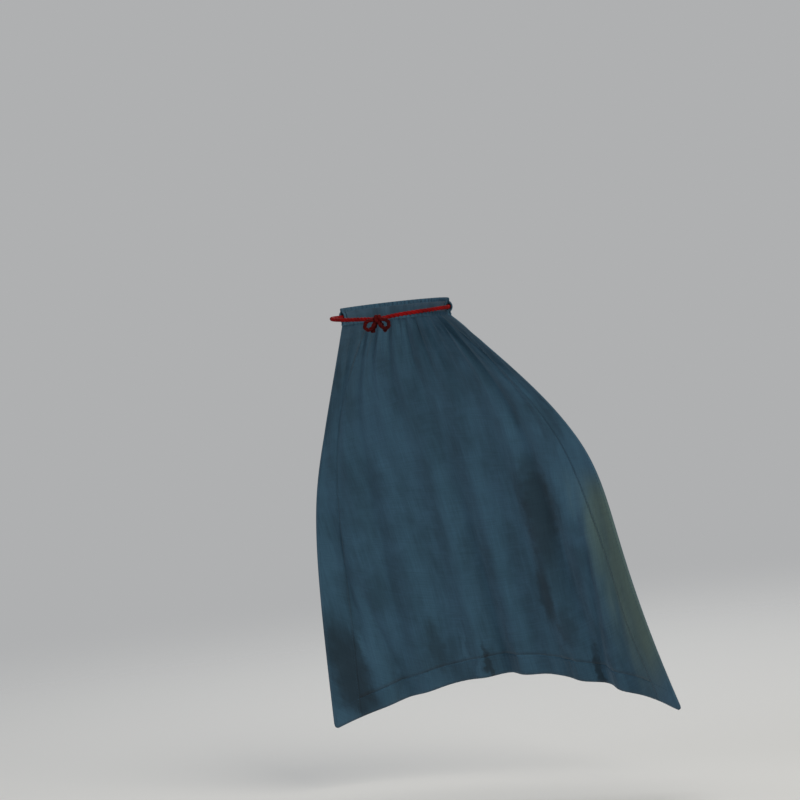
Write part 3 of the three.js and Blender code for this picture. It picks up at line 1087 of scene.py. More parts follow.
    def folded(self, side: np.ndarray, down: np.ndarray) -> np.ndarray:
        """Folds the cloth. The folds stand out level.

        Args:
            side: from -1 at the right front edge to 1 at the left.
            down: from 0 at the neck to 1 at the hem.

        Returns:
            The points.
        """
        level = self.normal(self.smooth, side, down)
        level[..., 2] = 0
        return self.smooth(side, down) + unit(level) * self.fold_height(side, down)[..., None]

    def flat(self, side: np.ndarray, down: np.ndarray) -> np.ndarray:
        """Finds where places of the cloth lie in the flat cut piece.

        Args:
            side: from -1 at the right front edge to 1 at the left.
            down: from 0 at the neck to 1 at the hem.

        Returns:
            How far across and down they lie, in metres.
        """
        half = self.neck_half_flat + (self.hem_half_flat - self.neck_half_flat) * down
        length = self.centre_flat + (self.edge_flat - self.centre_flat) * side * side
        return np.stack([side * half, down * length], -1)


@dataclass
class Drape:
    """The cape's middle surface as a fine grid, which every layer of cloth and every seam is taken from."""

    shape: CapeShape
    facing_width: float = 35 * MM
    hem_facing_width: float = 30 * MM
    facing_columns: int = 9
    middle_columns: int = 222
    body_rows: int = 125
    hem_rows: int = 7
    corner_radius: float = 5 * MM
    gathered_offset: float = 0.35  # the layers' distance in the gathers, as a share
    edge_offset: float = 0.62  # and at the pressed edges
    points: np.ndarray = field(init=False)
    normals: np.ndarray = field(init=False)

    def __post_init__(self) -> None:
        """Lays out the grid and folds it."""
        self.columns = self.middle_columns + 2 * self.facing_columns
        self.rows = self.body_rows + self.hem_rows
        column = np.linspace(-1, 1, self.columns + 1)[None, :].repeat(self.rows + 1, 0)
        row = np.linspace(0, 1, self.rows + 1)[:, None].repeat(self.columns + 1, 1)
        self.down = self._down(row, column)
        self.side = self._side(column, self.down)
        side, down = self._rounded(self.side, self.down)
        self.points = self.shape.folded(side, down)
        self._find_normals()

    def _down(self, row: np.ndarray, side: np.ndarray) -> np.ndarray:
        """Spreads the rows evenly above the hem facing, and evenly inside it.

        Args:
            row: from 0 at the top row to 1 at the last.
            side: from -1 at the right front edge to 1 at the left.

        Returns:
            How far down each place lies, from 0 to 1.
        """
        start = 1 - self.above_hem(side, self.hem_facing_width)
        seam = self.body_rows / self.rows
        return np.where(row <= seam, start * row / seam, start + (1 - start) * (row - seam) / (1 - seam))

    def above_hem(self, side: np.ndarray, width: float) -> np.ndarray:
        """Measures a strip above the hem along the cloth.

        Args:
            side: from -1 at the right front edge to 1 at the left.
            width: the strip's width, in metres.

        Returns:
            The share of the way down that the strip takes up at each side.
        """
        step = 0.01
        hem = np.ones_like(side)
        fall = self.shape.smooth(side, hem) - self.shape.smooth(side, hem - step)
        return width * step / np.linalg.norm(fall, axis=-1)

    def _side(self, column: np.ndarray, down: np.ndarray) -> np.ndarray:
        """Spreads the columns evenly between the facings, and evenly inside them.

        Args:
            column: from -1 at the first column to 1 at the last.
            down: from 0 at the neck to 1 at the hem.

        Returns:
            How far to the side each place lies, from -1 to 1.
        """
        size = np.abs(column)
        start = 1 - self.facing_width / self.shape.edge(down)[..., 0]
        seam = self.middle_columns / self.columns
        inside = start * size / seam
        outside = start + (1 - start) * (size - seam) / (1 - seam)
        return np.sign(column) * np.where(size <= seam, inside, outside)

    def _rounded(self, side: np.ndarray, down: np.ndarray) -> tuple[np.ndarray, np.ndarray]:
        """Rounds off the two hem corners by drawing the places near them inwards.

        Args:
            side: from -1 at the right front edge to 1 at the left.
            down: from 0 at the neck to 1 at the hem.

        Returns:
            The new side and down.
        """
        width = self.corner_radius / self.shape.hem_half_width
        height = self.corner_radius / self.shape.edge_flat
        x = np.clip((np.abs(side) - 1) / width + 1, 0, 1)
        y = np.clip((down - 1) / height + 1, 0, 1)
        round_x, round_y = x * np.sqrt(1 - y * y / 2), y * np.sqrt(1 - x * x / 2)
        return side + np.sign(side) * (round_x - x) * width, down + (round_y - y) * height

    def settle(self, shift: np.ndarray) -> None:
        """Moves every grid point by a shift and finds the new outward directions."""
        self.points = self.points + shift
        self._find_normals()

    def _find_normals(self) -> None:
        """Works out the outward direction at each grid point."""
        along = np.gradient(self.points, axis=1)
        fall = np.gradient(self.points, axis=0)
        self.normals = unit(np.cross(along, fall))

    def from_edge(self) -> np.ndarray:
        """How far each grid point lies from the nearest front edge or the hem, in metres."""
        sideways = (1 - np.abs(self.side)) * self.shape.hem_half_width
        return np.minimum(sideways, (1 - self.down) * self.shape.centre_flat)

    def offset_scale(self) -> np.ndarray:
        """Works out how far apart the layers lie: less in the gathers and at the pressed edges.

        Returns:
            The share of their full distance at each grid point.
        """
        gathered = self.gathered_offset + (1 - self.gathered_offset) * smooth_step(self.down, 0.0, 0.16)
        inside = smooth_step(self.from_edge(), 0.0, 6 * MM)
        return gathered * (self.edge_offset + (1 - self.edge_offset) * inside)

    def flat_part(self, columns: tuple[int, int], rows: tuple[int, int]) -> tuple[float, float, float]:
        """Measures part of the grid in the flat cut piece.

        Args:
            columns: its first and last column.
            rows: its first and last row.

        Returns:
            Its width, its length and its area, in metres and square metres.
        """
        part = self.shape.flat(self.side, self.down)[rows[0] : rows[1] + 1, columns[0] : columns[1] + 1]
        corners = (part[:-1, :-1], part[:-1, 1:], part[1:, 1:], part[1:, :-1])
        pairs = zip(corners, corners[1:] + corners[:1])
        twice = sum(p[..., 0] * q[..., 1] - p[..., 1] * q[..., 0] for p, q in pairs)
        return float(np.ptp(part[..., 0])), float(np.ptp(part[..., 1])), float(np.abs(twice).sum() / 2)


@dataclass(frozen=True)
class Settling:
    """A short cloth simulation, in which spare width buckles into small folds between the big ones."""

    stride: int = 2
    spare: float = 0.06
    frames: int = 34
    neck_pin: float = 1.0
    edge_pin: float = 0.92
    hem_pin: float = 0.5
    free_pin: float = 0.035
    cap: float = 6 * MM
    gravity: float = 0.15
    smoothing: int = 2
    cloth_settings: tuple[tuple[str, float], ...] = (
        ("quality", 7),
        ("mass", 0.12),
        ("tension_stiffness", 12),
        ("compression_stiffness", 12),
        ("shear_stiffness", 4),
        ("bending_stiffness", 0.12),
        ("air_damping", 2.0),
    )

    def shift(self, drape: Drape) -> np.ndarray:
        """Runs the simulation on a coarser copy of the drape.

        Args:
            drape: the cape's middle surface.

        Returns:
            How far each point of the drape's own grid moves.
        """
        every = (slice(None, None, self.stride),) * 2
        start, side, down = drape.points[every], drape.side[every], drape.down[every]
        cloth, row, column = self._copy(start)
        self._pin(cloth, side[row, column], down[row, column])
        scene = bpy.context.scene
        for frame in range(1, self.frames + 1):
            scene.frame_set(frame)
        seen = cloth.evaluated_get(bpy.context.evaluated_depsgraph_get())
        settled = np.empty(len(row) * 3)
        seen.data.vertices.foreach_get("co", settled)
        moved = np.zeros_like(start)
        moved[row, column] = settled.reshape(-1, 3) - start[row, column]
        mesh = cloth.data
        bpy.data.objects.remove(cloth)
        bpy.data.meshes.remove(mesh)
        scene.frame_set(1)
        size = np.linalg.norm(moved, axis=-1, keepdims=True)
        log.info("cloth settled: moved %.1f mm, at most %.1f mm", size.mean() / MM, size.max() / MM)
        moved = moved * self.cap * np.tanh(size / self.cap) / np.maximum(size, 1e-9)
        return self._refined(moved, drape)

    def _copy(self, points: np.ndarray) -> tuple[bpy.types.Object, np.ndarray, np.ndarray]:
        """Makes a mesh with a wider rest shape.

        Args:
            points: the cloth's points, by row and column.

        Returns:
            The mesh's object, and each vertex's row and column.
        """
        rows, columns = points.shape[0] - 1, points.shape[1] - 1
        bm = bmesh.new()
        bmesh.ops.create_grid(bm, x_segments=columns, y_segments=rows, size=0.5)
        column = np.rint(np.array([v.co.x + 0.5 for v in bm.verts]) * columns).astype(int)
        row = np.rint(np.array([v.co.y + 0.5 for v in bm.verts]) * rows).astype(int)
        for vert, r, c in zip(bm.verts, row, column):
            vert.co = points[r, c]
        mesh = bpy.data.meshes.new("cape_settling")
        bm.to_mesh(mesh)
        bm.free()
        cloth = bpy.data.objects.new("cape_settling", mesh)
        bpy.context.scene.collection.objects.link(cloth)
        cloth.shape_key_add(name="start")
        rest = cloth.shape_key_add(name="rest")
        wider = points[row, column] * np.array([1 + self.spare, 1 + self.spare, 1.0])
        rest.data.foreach_set("co", wider.ravel())
        return cloth, row, column

    def _pin(self, cloth: bpy.types.Object, side: np.ndarray, down: np.ndarray) -> None:
        """Adds the cloth modifier, held at the neck, firmly at the front edges and softly at the hem.

        Args:
            cloth: the cloth's object.
            side: from -1 at the right front edge to 1 at the left, for each vertex.
            down: from 0 at the neck to 1 at the hem, for each vertex.
        """
        edge = smooth_step(np.abs(side), 0.9, 0.99) * self.edge_pin
        hem = smooth_step(down, 0.93, 1.0) * self.hem_pin
        neck = smooth_step(-down, -0.05, 0.0) * self.neck_pin
        weight = np.maximum.reduce([edge, hem, neck, np.full_like(side, self.free_pin)])
        group = cloth.vertex_groups.new(name="pin")
        for index, amount in enumerate(weight):
            group.add([index], float(amount), "REPLACE")
        modifier = cloth.modifiers.new("cloth", "CLOTH")
        settings = modifier.settings
        for name, value in self.cloth_settings:
            setattr(settings, name, value)
        settings.effector_weights.gravity = self.gravity
        settings.vertex_group_mass = "pin"
        settings.rest_shape_key = cloth.data.shape_keys.key_blocks["rest"]
        modifier.collision_settings.use_collision = False
        modifier.collision_settings.use_self_collision = False

    def _refined(self, moved: np.ndarray, drape: Drape) -> np.ndarray:
        """Spreads the coarse shifts over the drape's grid, smoothly.

        Args:
            moved: the shifts on the coarse grid.
            drape: the cape's middle surface.

        Returns:
            The shifts on the drape's own grid.
        """
        coarse_row, coarse_column = (np.arange(count) * self.stride for count in moved.shape[:2])
        rows, columns = np.arange(drape.rows + 1), np.arange(drape.columns + 1)
        fine = np.stack([read_along(columns, coarse_column, line) for line in moved])
        fine = np.stack([read_along(rows, coarse_row, fine[:, c]) for c in columns], 1)
        for _ in range(self.smoothing):
            fine[1:-1] = (fine[:-2] + 2 * fine[1:-1] + fine[2:]) / 4
            fine[:, 1:-1] = (fine[:, :-2] + 2 * fine[:, 1:-1] + fine[:, 2:]) / 4
        return fine


@dataclass(frozen=True)
class ClothLayer:
    """One cut piece of cloth: part of the drape's grid, at a set distance from its middle surface."""

    name: str
    columns: tuple[int, int]
    rows: tuple[int, int]
    offset: float
    thickness: float
    replaces: tuple[str, ...]
    slot: str
    held: str = "hung"
    worn_width: float = 4 * MM
    strip: tuple[float, float] | None = None  # its size, where it is cut as a straight strip

    def build(self, drape: Drape, material: bpy.types.Material) -> bpy.types.Object:
        """Cuts the layer from the drape and gives it its thickness.

        Args:
            drape: the cape's middle surface.
            material: the layer's finish.

        Returns:
            The layer, closed by a Solidify modifier.
        """
        surface = drape.points + drape.normals * (self.offset * drape.offset_scale())[..., None]
        flat = drape.shape.flat(drape.side, drape.down)
        worn = 1 - smooth_step(drape.from_edge(), 0.0, self.worn_width)
        place, sheet, edge = (partial(self._cut, values) for values in (surface, flat, worn))
        size = (self.columns[1] - self.columns[0], self.rows[1] - self.rows[0])
        piece = bent_grid(self.name, *size, place, sheet, material, edge=edge)
        solid = piece.modifiers.new("thickness", "SOLIDIFY")
        solid.thickness = self.thickness
        solid.offset = 0
        solid.use_even_offset = False
        return piece

    def _cut(self, values: np.ndarray, across: np.ndarray, along: np.ndarray) -> np.ndarray:
        """Cuts the layer's part out of values on the drape's grid.

        Args:
            values: what the drape's grid holds.
            across: shares of the layer's columns.
            along: shares of its rows.

        Returns:
            The values at those places.
        """
        (left, right), (top, bottom) = self.columns, self.rows
        column = np.rint(left + across * (right - left)).astype(int)
        row = np.rint(top + along * (bottom - top)).astype(int)
        return values[row, column]

    def declare(self, piece: bpy.types.Object, drape: Drape) -> None:
        """Works out the size the layer was cut to, hides the parts it replaces and bakes its place into its
        mesh.

        Args:
            piece: the layer's object.
            drape: the cape's middle surface.
        """
        width, length, area = drape.flat_part(self.columns, self.rows)
        if self.strip:
            width, length = self.strip
            area = width * length
        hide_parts(*self.replaces)
        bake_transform(piece)


@dataclass
class CapeCloth:
    """The swinging cloth: outer panel, lining, front facings, hem facing and their seams."""

    drape: Drape
    finishes: Finishes
    cloth_thickness: float = 0.7 * MM
    lining_thickness: float = 0.5 * MM
    layer_offset: float = 0.55 * MM
    front_strip: tuple[float, float] = (40 * MM, 615 * MM)
    hem_strip: tuple[float, float] = (530 * MM, 31 * MM)

    def layers(self) -> list[tuple[ClothLayer, bpy.types.Material]]:
        """Plans the cut pieces.

        Returns:
            Every piece with its finish.
        """
        first, last = 0, self.drape.columns
        left_seam, right_seam = last - self.drape.facing_columns, self.drape.facing_columns
        hem, seam = self.drape.rows, self.drape.body_rows
        cloth, inner = self.cloth_thickness, -self.layer_offset
        outer = ClothLayer(
            "cape_outer_cloth", (first, last), (0, hem), self.layer_offset, cloth,
            ("cape_outer", "gathered_heading"), "cape_cloth", "gathered",
        )
        lining = ClothLayer(
            "cape_lining_cloth", (right_seam, left_seam), (0, seam), inner, self.lining_thickness,
            ("cape_lining",), "lining_cloth", "gathered",
        )
        planned = [(outer, self.finishes.outer), (lining, self.finishes.lining)]
        for node, columns, rows, strip in (
            ("left_front_facing", (left_seam, last), (0, hem), self.front_strip),
            ("right_front_facing", (first, right_seam), (0, hem), self.front_strip),
            ("hem_facing", (right_seam, left_seam), (seam, hem), self.hem_strip),
        ):
            name = f"{node}_cloth"
            facing = ClothLayer(name, columns, rows, inner, cloth, (node,), "cape_cloth", strip=strip)
            planned.append((facing, self.finishes.facing))
        return planned

    def build(self) -> None:
        """Makes every layer, hides the parts it replaces and bakes its place into its mesh."""
        for layer, material in self.layers():
            piece = layer.build(self.drape, material)
            layer.declare(piece, self.drape)
            log.info("%s: %d faces", piece.name, len(piece.data.polygons))


# ------------------------------------------------------------------ neck channel


def strip_map(width: float, length: float, across: np.ndarray, along: np.ndarray) -> np.ndarray:
    """The flat map of a strip that runs along the channel."""
    return np.stack([along * length, across * width], -1)


@dataclass
class NeckChannel:
    """The gathered channel round the back of the neck, its tape, its stitching and the cord inside."""

    loop: NeckLoop
    finishes: Finishes
    height: float = 21.6 * MM
    channel_half_height: float = 6.2 * MM
    channel_half_depth: float = 4.3 * MM
    edge_half_depth: float = 1.2 * MM
    hole_radius: float = 3.1 * MM
    cloth_thickness: float = 0.6 * MM
    roundness: float = 0.62  # the lower, the fuller the channel round the cord
    flare: float = 0.9 * MM
    gathers: int = 33
    gather_depth: float = 1.05 * MM
    puff_depth: float = 0.45 * MM
    corner: int = 14  # the higher, the squarer the channel's top and bottom edges
    around: int = 56
    along: int = 300
    inner_rows: int = 60
    inner_reach: tuple[float, float] = (0.002, 0.998)  # the part of the channel that its cord fills
    tape_height: float = 12 * MM
    tape_thickness: float = 0.7 * MM
    tape_setback: float = math.radians(4)
    tape_gap: float = 0.75 * MM
    tape_length: float = 190 * MM
    cloth_length: float = 420 * MM  # the gathered cloth, laid flat
    rim_draw: float = 0.95  # how far the mouths' rims are drawn in

    def angle(self, along: np.ndarray) -> np.ndarray:
        """The angle round the loop for a share of the channel, from its left mouth to its right."""
        return self.loop.mouth + (math.pi - 2 * self.loop.mouth) * along

    def inside(self, rise: np.ndarray) -> np.ndarray:
        """1 at the height of the cord, falling to 0 where the channel's two faces meet."""
        return np.clip(1 - (rise / self.channel_half_height) ** 2, 0, 1)

    def half_depth(self, rise: np.ndarray) -> np.ndarray:
        """Shapes the channel: round where the cord runs, thin above and below it.

        Args:
            rise: heights above the channel's middle.

        Returns:
            Half its depth at each height.
        """
        flare = self.flare * smooth_step(-rise, self.channel_half_height, self.height / 2)
        round_depth = (self.channel_half_depth - self.edge_half_depth) * self.inside(rise) ** self.roundness
        return self.edge_half_depth + round_depth + flare

    def ripple(self, along: np.ndarray, rise: np.ndarray) -> np.ndarray:
        """Works out the gathers: strong in the frill above the channel and in the cloth below it.

        Args:
            along: shares of the channel, from its left mouth to its right.
            rise: heights above its middle.

        Returns:
            How far out the cloth is pushed at each place.
        """
        drift = 1.1 * np.sin(9 * along + 1) + 0.7 * np.sin(23 * along)
        turns = TURN * self.gathers * along
        wave = np.cos(turns + drift) + 0.35 * np.cos(1.7 * turns + 2 * drift)
        strength = 0.25 + 0.75 * smooth_step(np.abs(rise), 0.6 * self.channel_half_height, self.height / 2)
        return self.gather_depth * wave * strength

    def skin(self, across: np.ndarray, along: np.ndarray) -> np.ndarray:
        """Places the channel's cloth, which goes out along its outside and back through its hole.

        Args:
            across: shares of a turn round the channel.
            along: shares of the way out and back.

        Returns:
            The points.
        """
        first_rim, last_rim = self.along + 1, self.along + self.inner_rows + 2
        angle = across * TURN
        row = np.rint(along * (last_rim + 1)).astype(int) % (last_rim + 1)
        hole = (row > first_rim) & (row < last_rim)
        rim = (row == first_rim) | (row == last_rim)
        back = 0.98 - 0.96 * (row - first_rim - 1) / (self.inner_rows - 1)
        forward = np.where(hole, back, np.where(row <= self.along, row / self.along, row == first_rim))
        rise = self.height / 2 * np.sin(angle)
        edge_round = np.sqrt(np.maximum(1 - np.abs(np.sin(angle)) ** self.corner, 0))
        side = np.sign(np.cos(angle))
        depth = self.half_depth(rise) - np.where(rim, self.cloth_thickness, 0)
        puff = self.puff_depth * side * np.cos(TURN * self.gathers * forward + 1.4) * self.inside(rise)
        outset = depth * side * edge_round + self.ripple(forward, rise) * edge_round + puff
        outset = np.where(hole, self.hole_radius * np.cos(angle), outset)
        rise = np.where(hole, self.hole_radius * np.sin(angle), rise * np.where(rim, self.rim_draw, 1))
        return self.loop.point(self.angle(forward), outset, rise)

    def tape_skin(self, across: np.ndarray, along: np.ndarray) -> np.ndarray:
        """Places the tape over the gathers on the neck side, bent over the channel's round.

        Args:
            across: shares of a turn round the tape.
            along: shares of its length.

        Returns:
            The points.
        """
        setback = self.tape_setback / (math.pi - 2 * self.loop.mouth)
        angle = across * TURN
        rise = self.tape_height / 2 * np.clip(1.25 * np.sin(angle), -1, 1)
        inset = self.half_depth(rise) + self.tape_gap
        outset = -inset + self.tape_thickness / 2 * np.clip(2.5 * np.cos(angle), -1, 1)
        return self.loop.point(self.angle(setback + along * (1 - 2 * setback)), outset, rise)

    def cloth(self) -> bpy.types.Object:
        """Makes the channel's cloth, as one skin that is closed both ways.

        Returns:
            The channel.
        """
        rows = self.along + self.inner_rows + 3
        flat = partial(strip_map, 2 * self.height, self.cloth_length)
        return bent_grid(
            "neck_casing_cloth", self.around, rows, self.skin, flat, self.finishes.outer,
            closed_across=True, closed_along=True,
        )

    def tape(self) -> bpy.types.Object:
        """Makes the stay tape.

        Returns:
            The tape.
        """
        flat = partial(strip_map, 2 * self.tape_height, self.tape_length)
        return bent_grid(
            "neck_tape_strip", 40, 160, self.tape_skin, flat, self.finishes.tape,
            closed_across=True, capped=True,
        )

    def inner_cord(self) -> bpy.types.Object:
        """Makes the length of drawcord inside the channel.

        Returns:
            That part of the cord.
        """
        share = np.linspace(*self.inner_reach, 24)
        points = self.loop.point(self.angle(share), 0 * share, 0 * share)
        return Rope().build("channel_cord", Route(points), self.finishes.cord)

    def build(self) -> None:
        """Makes the channel's pieces, hides the parts they replace and hangs them on the neckline's body."""
        made = (
            (self.cloth(), "neck_casing", "cape_cloth"),
            (self.tape(), "neck_tape", "neck_tape"),
            (self.inner_cord(), "drawcord_back", "drawcord"),
        )
        for piece, node, slot in made:
            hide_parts(node)
            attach(piece, Body.NECKLINE.value)
            log.info("%s: %d faces", piece.name, len(piece.data.polygons))


# ------------------------------------------------------------------ stitching


@dataclass(frozen=True)
class Stitching:
    """A row of thread stitches, each a slim grain that lies on the cloth."""

    length: float = 2.9 * MM
    gap: float = 1.3 * MM
    width: float = 0.55 * MM
    height: float = 0.4 * MM

    def add(self, bm: bmesh.types.BMesh, points: np.ndarray, normals: np.ndarray) -> None:
        """Adds a row of stitches to a bmesh.

        Args:
            bm: takes the stitches.
            points: the seam's line on the cloth.
            normals: the cloth's outward direction along it.
        """
        far = far_along(points)
        start = self.gap
        while start + self.length < far[-1]:
            head, tail = (Vector(read_along(where, far, points)) for where in (start, start + self.length))
            out = Vector(read_along(start + self.length / 2, far, normals)).normalized()
            self.grain(bm, head, tail, out)
            start += self.length + self.gap

    def grain(self, bm: bmesh.types.BMesh, head: Vector, tail: Vector, out: Vector) -> None:
        """Adds one stitch, lying flat against the cloth.

        Args:
            bm: takes the stitch.
            head: where it comes out of the cloth.
            tail: where it goes in again.
            out: the cloth's outward direction.
        """
        run = (tail - head).normalized()
        across = out.cross(run).normalized()
        turn = Matrix((run, across, run.cross(across))).transposed().to_4x4()
        size = Matrix.Diagonal(((tail - head).length / 2, self.width / 2, self.height / 2, 1))
        where = Matrix.Translation((head + tail) / 2)
        bmesh.ops.create_icosphere(bm, subdivisions=1, radius=1.0, matrix=where @ turn @ size)


@dataclass
class Seams:
    """Every visible row of stitches on the cape and the channel."""

    drape: Drape
    channel: NeckChannel
    cloth: CapeCloth
    finishes: Finishes
    edge_inset: float = 3.5 * MM
    seam_inset: float = 2 * MM
    front_reach: tuple[float, float] = (0.06, 0.992)  # how far down the front rows start and end
    hem_reach: tuple[float, float] = (-0.985, 0.985)
    channel_reach: tuple[float, float] = (0.01, 0.99)
    channel_gap: float = 0.4 * MM  # from the channel's round to its rows
    cape_proud: float = 0.1 * MM  # how far out of the cloth the stitches lie
    channel_proud: float = 0.15 * MM
    tack_proud: float = 0.35 * MM
    tack_setback: float = math.radians(4)
    tack_half_width: float = 0.0065  # a share of the channel's length

    def _line(self, side: np.ndarray, down: np.ndarray, offset: float) -> tuple[np.ndarray, np.ndarray]:
        """Finds a line on one face of the cape.

        Args:
            side: from -1 at the right front edge to 1 at the left.
            down: from 0 at the neck to 1 at the hem.
            offset: how far that layer's middle lies from the drape's middle surface.

        Returns:
            The line's points and the outward direction at each.
        """
        rows, columns = self._indices(side, down)
        scale = self._sample(self.drape.offset_scale()[..., None], rows, columns)
        normals = unit(self._sample(self.drape.normals, rows, columns))
        points = self._sample(self.drape.points, rows, columns)
        thick = self.cloth.cloth_thickness / 2 + self.cape_proud
        reach = np.sign(offset) * (np.abs(offset) * scale + thick)
        return points + normals * reach, normals * np.sign(offset)

    def _indices(self, side: np.ndarray, down: np.ndarray) -> tuple[np.ndarray, np.ndarray]:
        """Finds places of the cloth on the drape's grid.

        Args:
            side: from -1 at the right front edge to 1 at the left.
            down: from 0 at the neck to 1 at the hem.

        Returns:
            Their rows and columns, with fractions.
        """
        columns = np.empty_like(side)
        rows = np.empty_like(side)
        for k, (s, d) in enumerate(zip(side, down)):
            middle = self.drape.down[:, self.drape.columns // 2]
            row = np.interp(d, middle, np.arange(len(middle)))
            near = int(round(row))
            column = np.interp(s, self.drape.side[near], np.arange(self.drape.columns + 1))
            line = self.drape.down[:, int(round(column))]
            rows[k] = np.interp(d, line, np.arange(len(line)))
            columns[k] = column
        return rows, columns

    @staticmethod
    def _sample(values: np.ndarray, rows: np.ndarray, columns: np.ndarray) -> np.ndarray:
        """Reads grid values between grid points.

        Args:
            values: what the grid holds.
            rows: rows, with fractions.
            columns: columns, with fractions.

        Returns:
            The values at those places.
        """
        r, c = np.floor(rows).astype(int), np.floor(columns).astype(int)
        r, c = np.minimum(r, values.shape[0] - 2), np.minimum(c, values.shape[1] - 2)
        y, x = (rows - r)[:, None], (columns - c)[:, None]
        top = values[r, c] * (1 - x) + values[r, c + 1] * x
        bottom = values[r + 1, c] * (1 - x) + values[r + 1, c + 1] * x
        return top * (1 - y) + bottom * y

    def cape_rows(self) -> bpy.types.Object:
        """Sews rows along both edges of the front facings and the hem facing, on both faces of the cape.

        Returns:
            All of these stitches as one piece.
        """
        bm = bmesh.new()
        shape = self.drape.shape
        down = np.linspace(*self.front_reach, 240)
        half = shape.edge(down)[:, 0]
        side = np.linspace(*self.hem_reach, 300)
        for offset in (self.cloth.layer_offset, -self.cloth.layer_offset):
            for sign in (Side.LEFT.value, Side.RIGHT.value):
                for inset in (self.edge_inset, self.drape.facing_width - self.seam_inset):
                    Stitching().add(bm, *self._line(sign * (1 - inset / half), down, offset))
            for inset in (self.edge_inset, self.drape.hem_facing_width - self.seam_inset):
                Stitching().add(bm, *self._line(side, 1 - self.drape.above_hem(side, inset), offset))
        piece = new_piece("cape_topstitching", bm, self.finishes.thread)
        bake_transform(piece)
        return piece

    def channel_rows(self) -> bpy.types.Object:
        """Sews rows above and below the cord, on both faces of the channel.

        Returns:
            All of these stitches as one piece.
        """
        bm = bmesh.new()
        channel = self.channel
        share = np.linspace(*self.channel_reach, 260)
        rise = channel.channel_half_height + self.channel_gap
        for height in (np.full_like(share, rise), np.full_like(share, -rise)):
            for face in (1, -1):
                out = channel.half_depth(height) + self.channel_proud
                outset = face * out + channel.ripple(share, height)
                points = channel.loop.point(channel.angle(share), outset, height)
                beyond = channel.loop.point(channel.angle(share), outset + face * MM, height)
                Stitching(length=2.4 * MM, gap=1.2 * MM).add(bm, points, unit(beyond - points))
        piece = new_piece("channel_stitching", bm, self.finishes.thread)
        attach(piece, Body.NECKLINE.value)
        return piece

    def bar_tack(self, side: Side) -> bpy.types.Object:
        """Stacks tight cross stitches beside a mouth.

        Args:
            side: which mouth.

        Returns:
            The bar tack as one piece.
        """
        bm = bmesh.new()
        channel = self.channel
        setback = self.tack_setback / (math.pi - 2 * channel.loop.mouth)
        share = setback if side is Side.LEFT else 1 - setback
        stitch = Stitching(width=0.6 * MM, height=0.55 * MM)
        for rise in np.arange(-5.6, 5.7, 0.5) * MM:
            ends = np.array([share - self.tack_half_width, share + self.tack_half_width])
            height = np.full(2, rise)
            outset = channel.half_depth(height) + channel.ripple(ends, height) + self.tack_proud
            head, tail = channel.loop.point(channel.angle(ends), outset, height)
            out = channel.loop.point(channel.angle(ends), outset + MM, height)[0] - head
            stitch.grain(bm, Vector(head), Vector(tail), Vector(out).normalized())
        node = f"{side.name.lower()}_bar_tack"
        piece = new_piece(f"{node}_stitches", bm, self.finishes.thread)
        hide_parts(node)
        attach(piece, Body.NECKLINE.value)
        return piece

    def build(self) -> None:
        """Sews every row."""
        made = [self.cape_rows(), self.channel_rows(), self.bar_tack(Side.LEFT), self.bar_tack(Side.RIGHT)]
        for piece in made:
            log.info("%s: %d faces", piece.name, len(piece.data.polygons))


# ------------------------------------------------------------------ free cord and bow


def in_metres(points: Iterable[Sequence[float]]) -> np.ndarray:
    """Points given in millimetres, in metres."""
    return np.array(list(points), float) * MM


# Middle lines of the free runs, from a mouth of the channel into the knot.
LEFT_RUN = in_metres([
    [69.5, 15.4, 0.5], [71.2, 9.0, 0.3], [71.9, 2.6, 0.1], [71.8, -3.9, 0.0], [70.9, -10.4, -0.1],
    [69.1, -16.7, -0.2], [66.5, -22.8, -0.4], [63.1, -28.7, -0.6], [58.9, -34.2, -0.8],
    [54.0, -39.3, -1.0], [48.5, -44.0, -1.3], [42.4, -48.3, -1.6], [35.8, -52.0, -2.0],
    [28.8, -55.1, -2.6], [21.4, -57.5, -3.5], [13.8, -59.2, -4.6], [10.6, -60.6, -5.0],
])
RIGHT_RUN = in_metres([
    [-69.5, 15.4, 0.5], [-71.2, 9.1, 0.4], [-71.9, 2.7, 0.4], [-71.9, -3.7, 0.4], [-71.0, -10.1, 0.3],
    [-69.2, -16.3, 0.2], [-66.7, -22.4, 0.0], [-63.4, -28.2, -0.3], [-59.3, -33.7, -0.7],
    [-54.6, -38.7, -1.1], [-49.1, -43.4, -1.5], [-42.1, -47.5, -2.0], [-33.7, -51.1, -2.5],
    [-24.6, -54.1, -3.0], [-15.2, -56.5, -3.5], [-6.1, -58.2, -4.1], [2.2, -59.2, -4.8], [5.4, -60.6, -5.1],
])


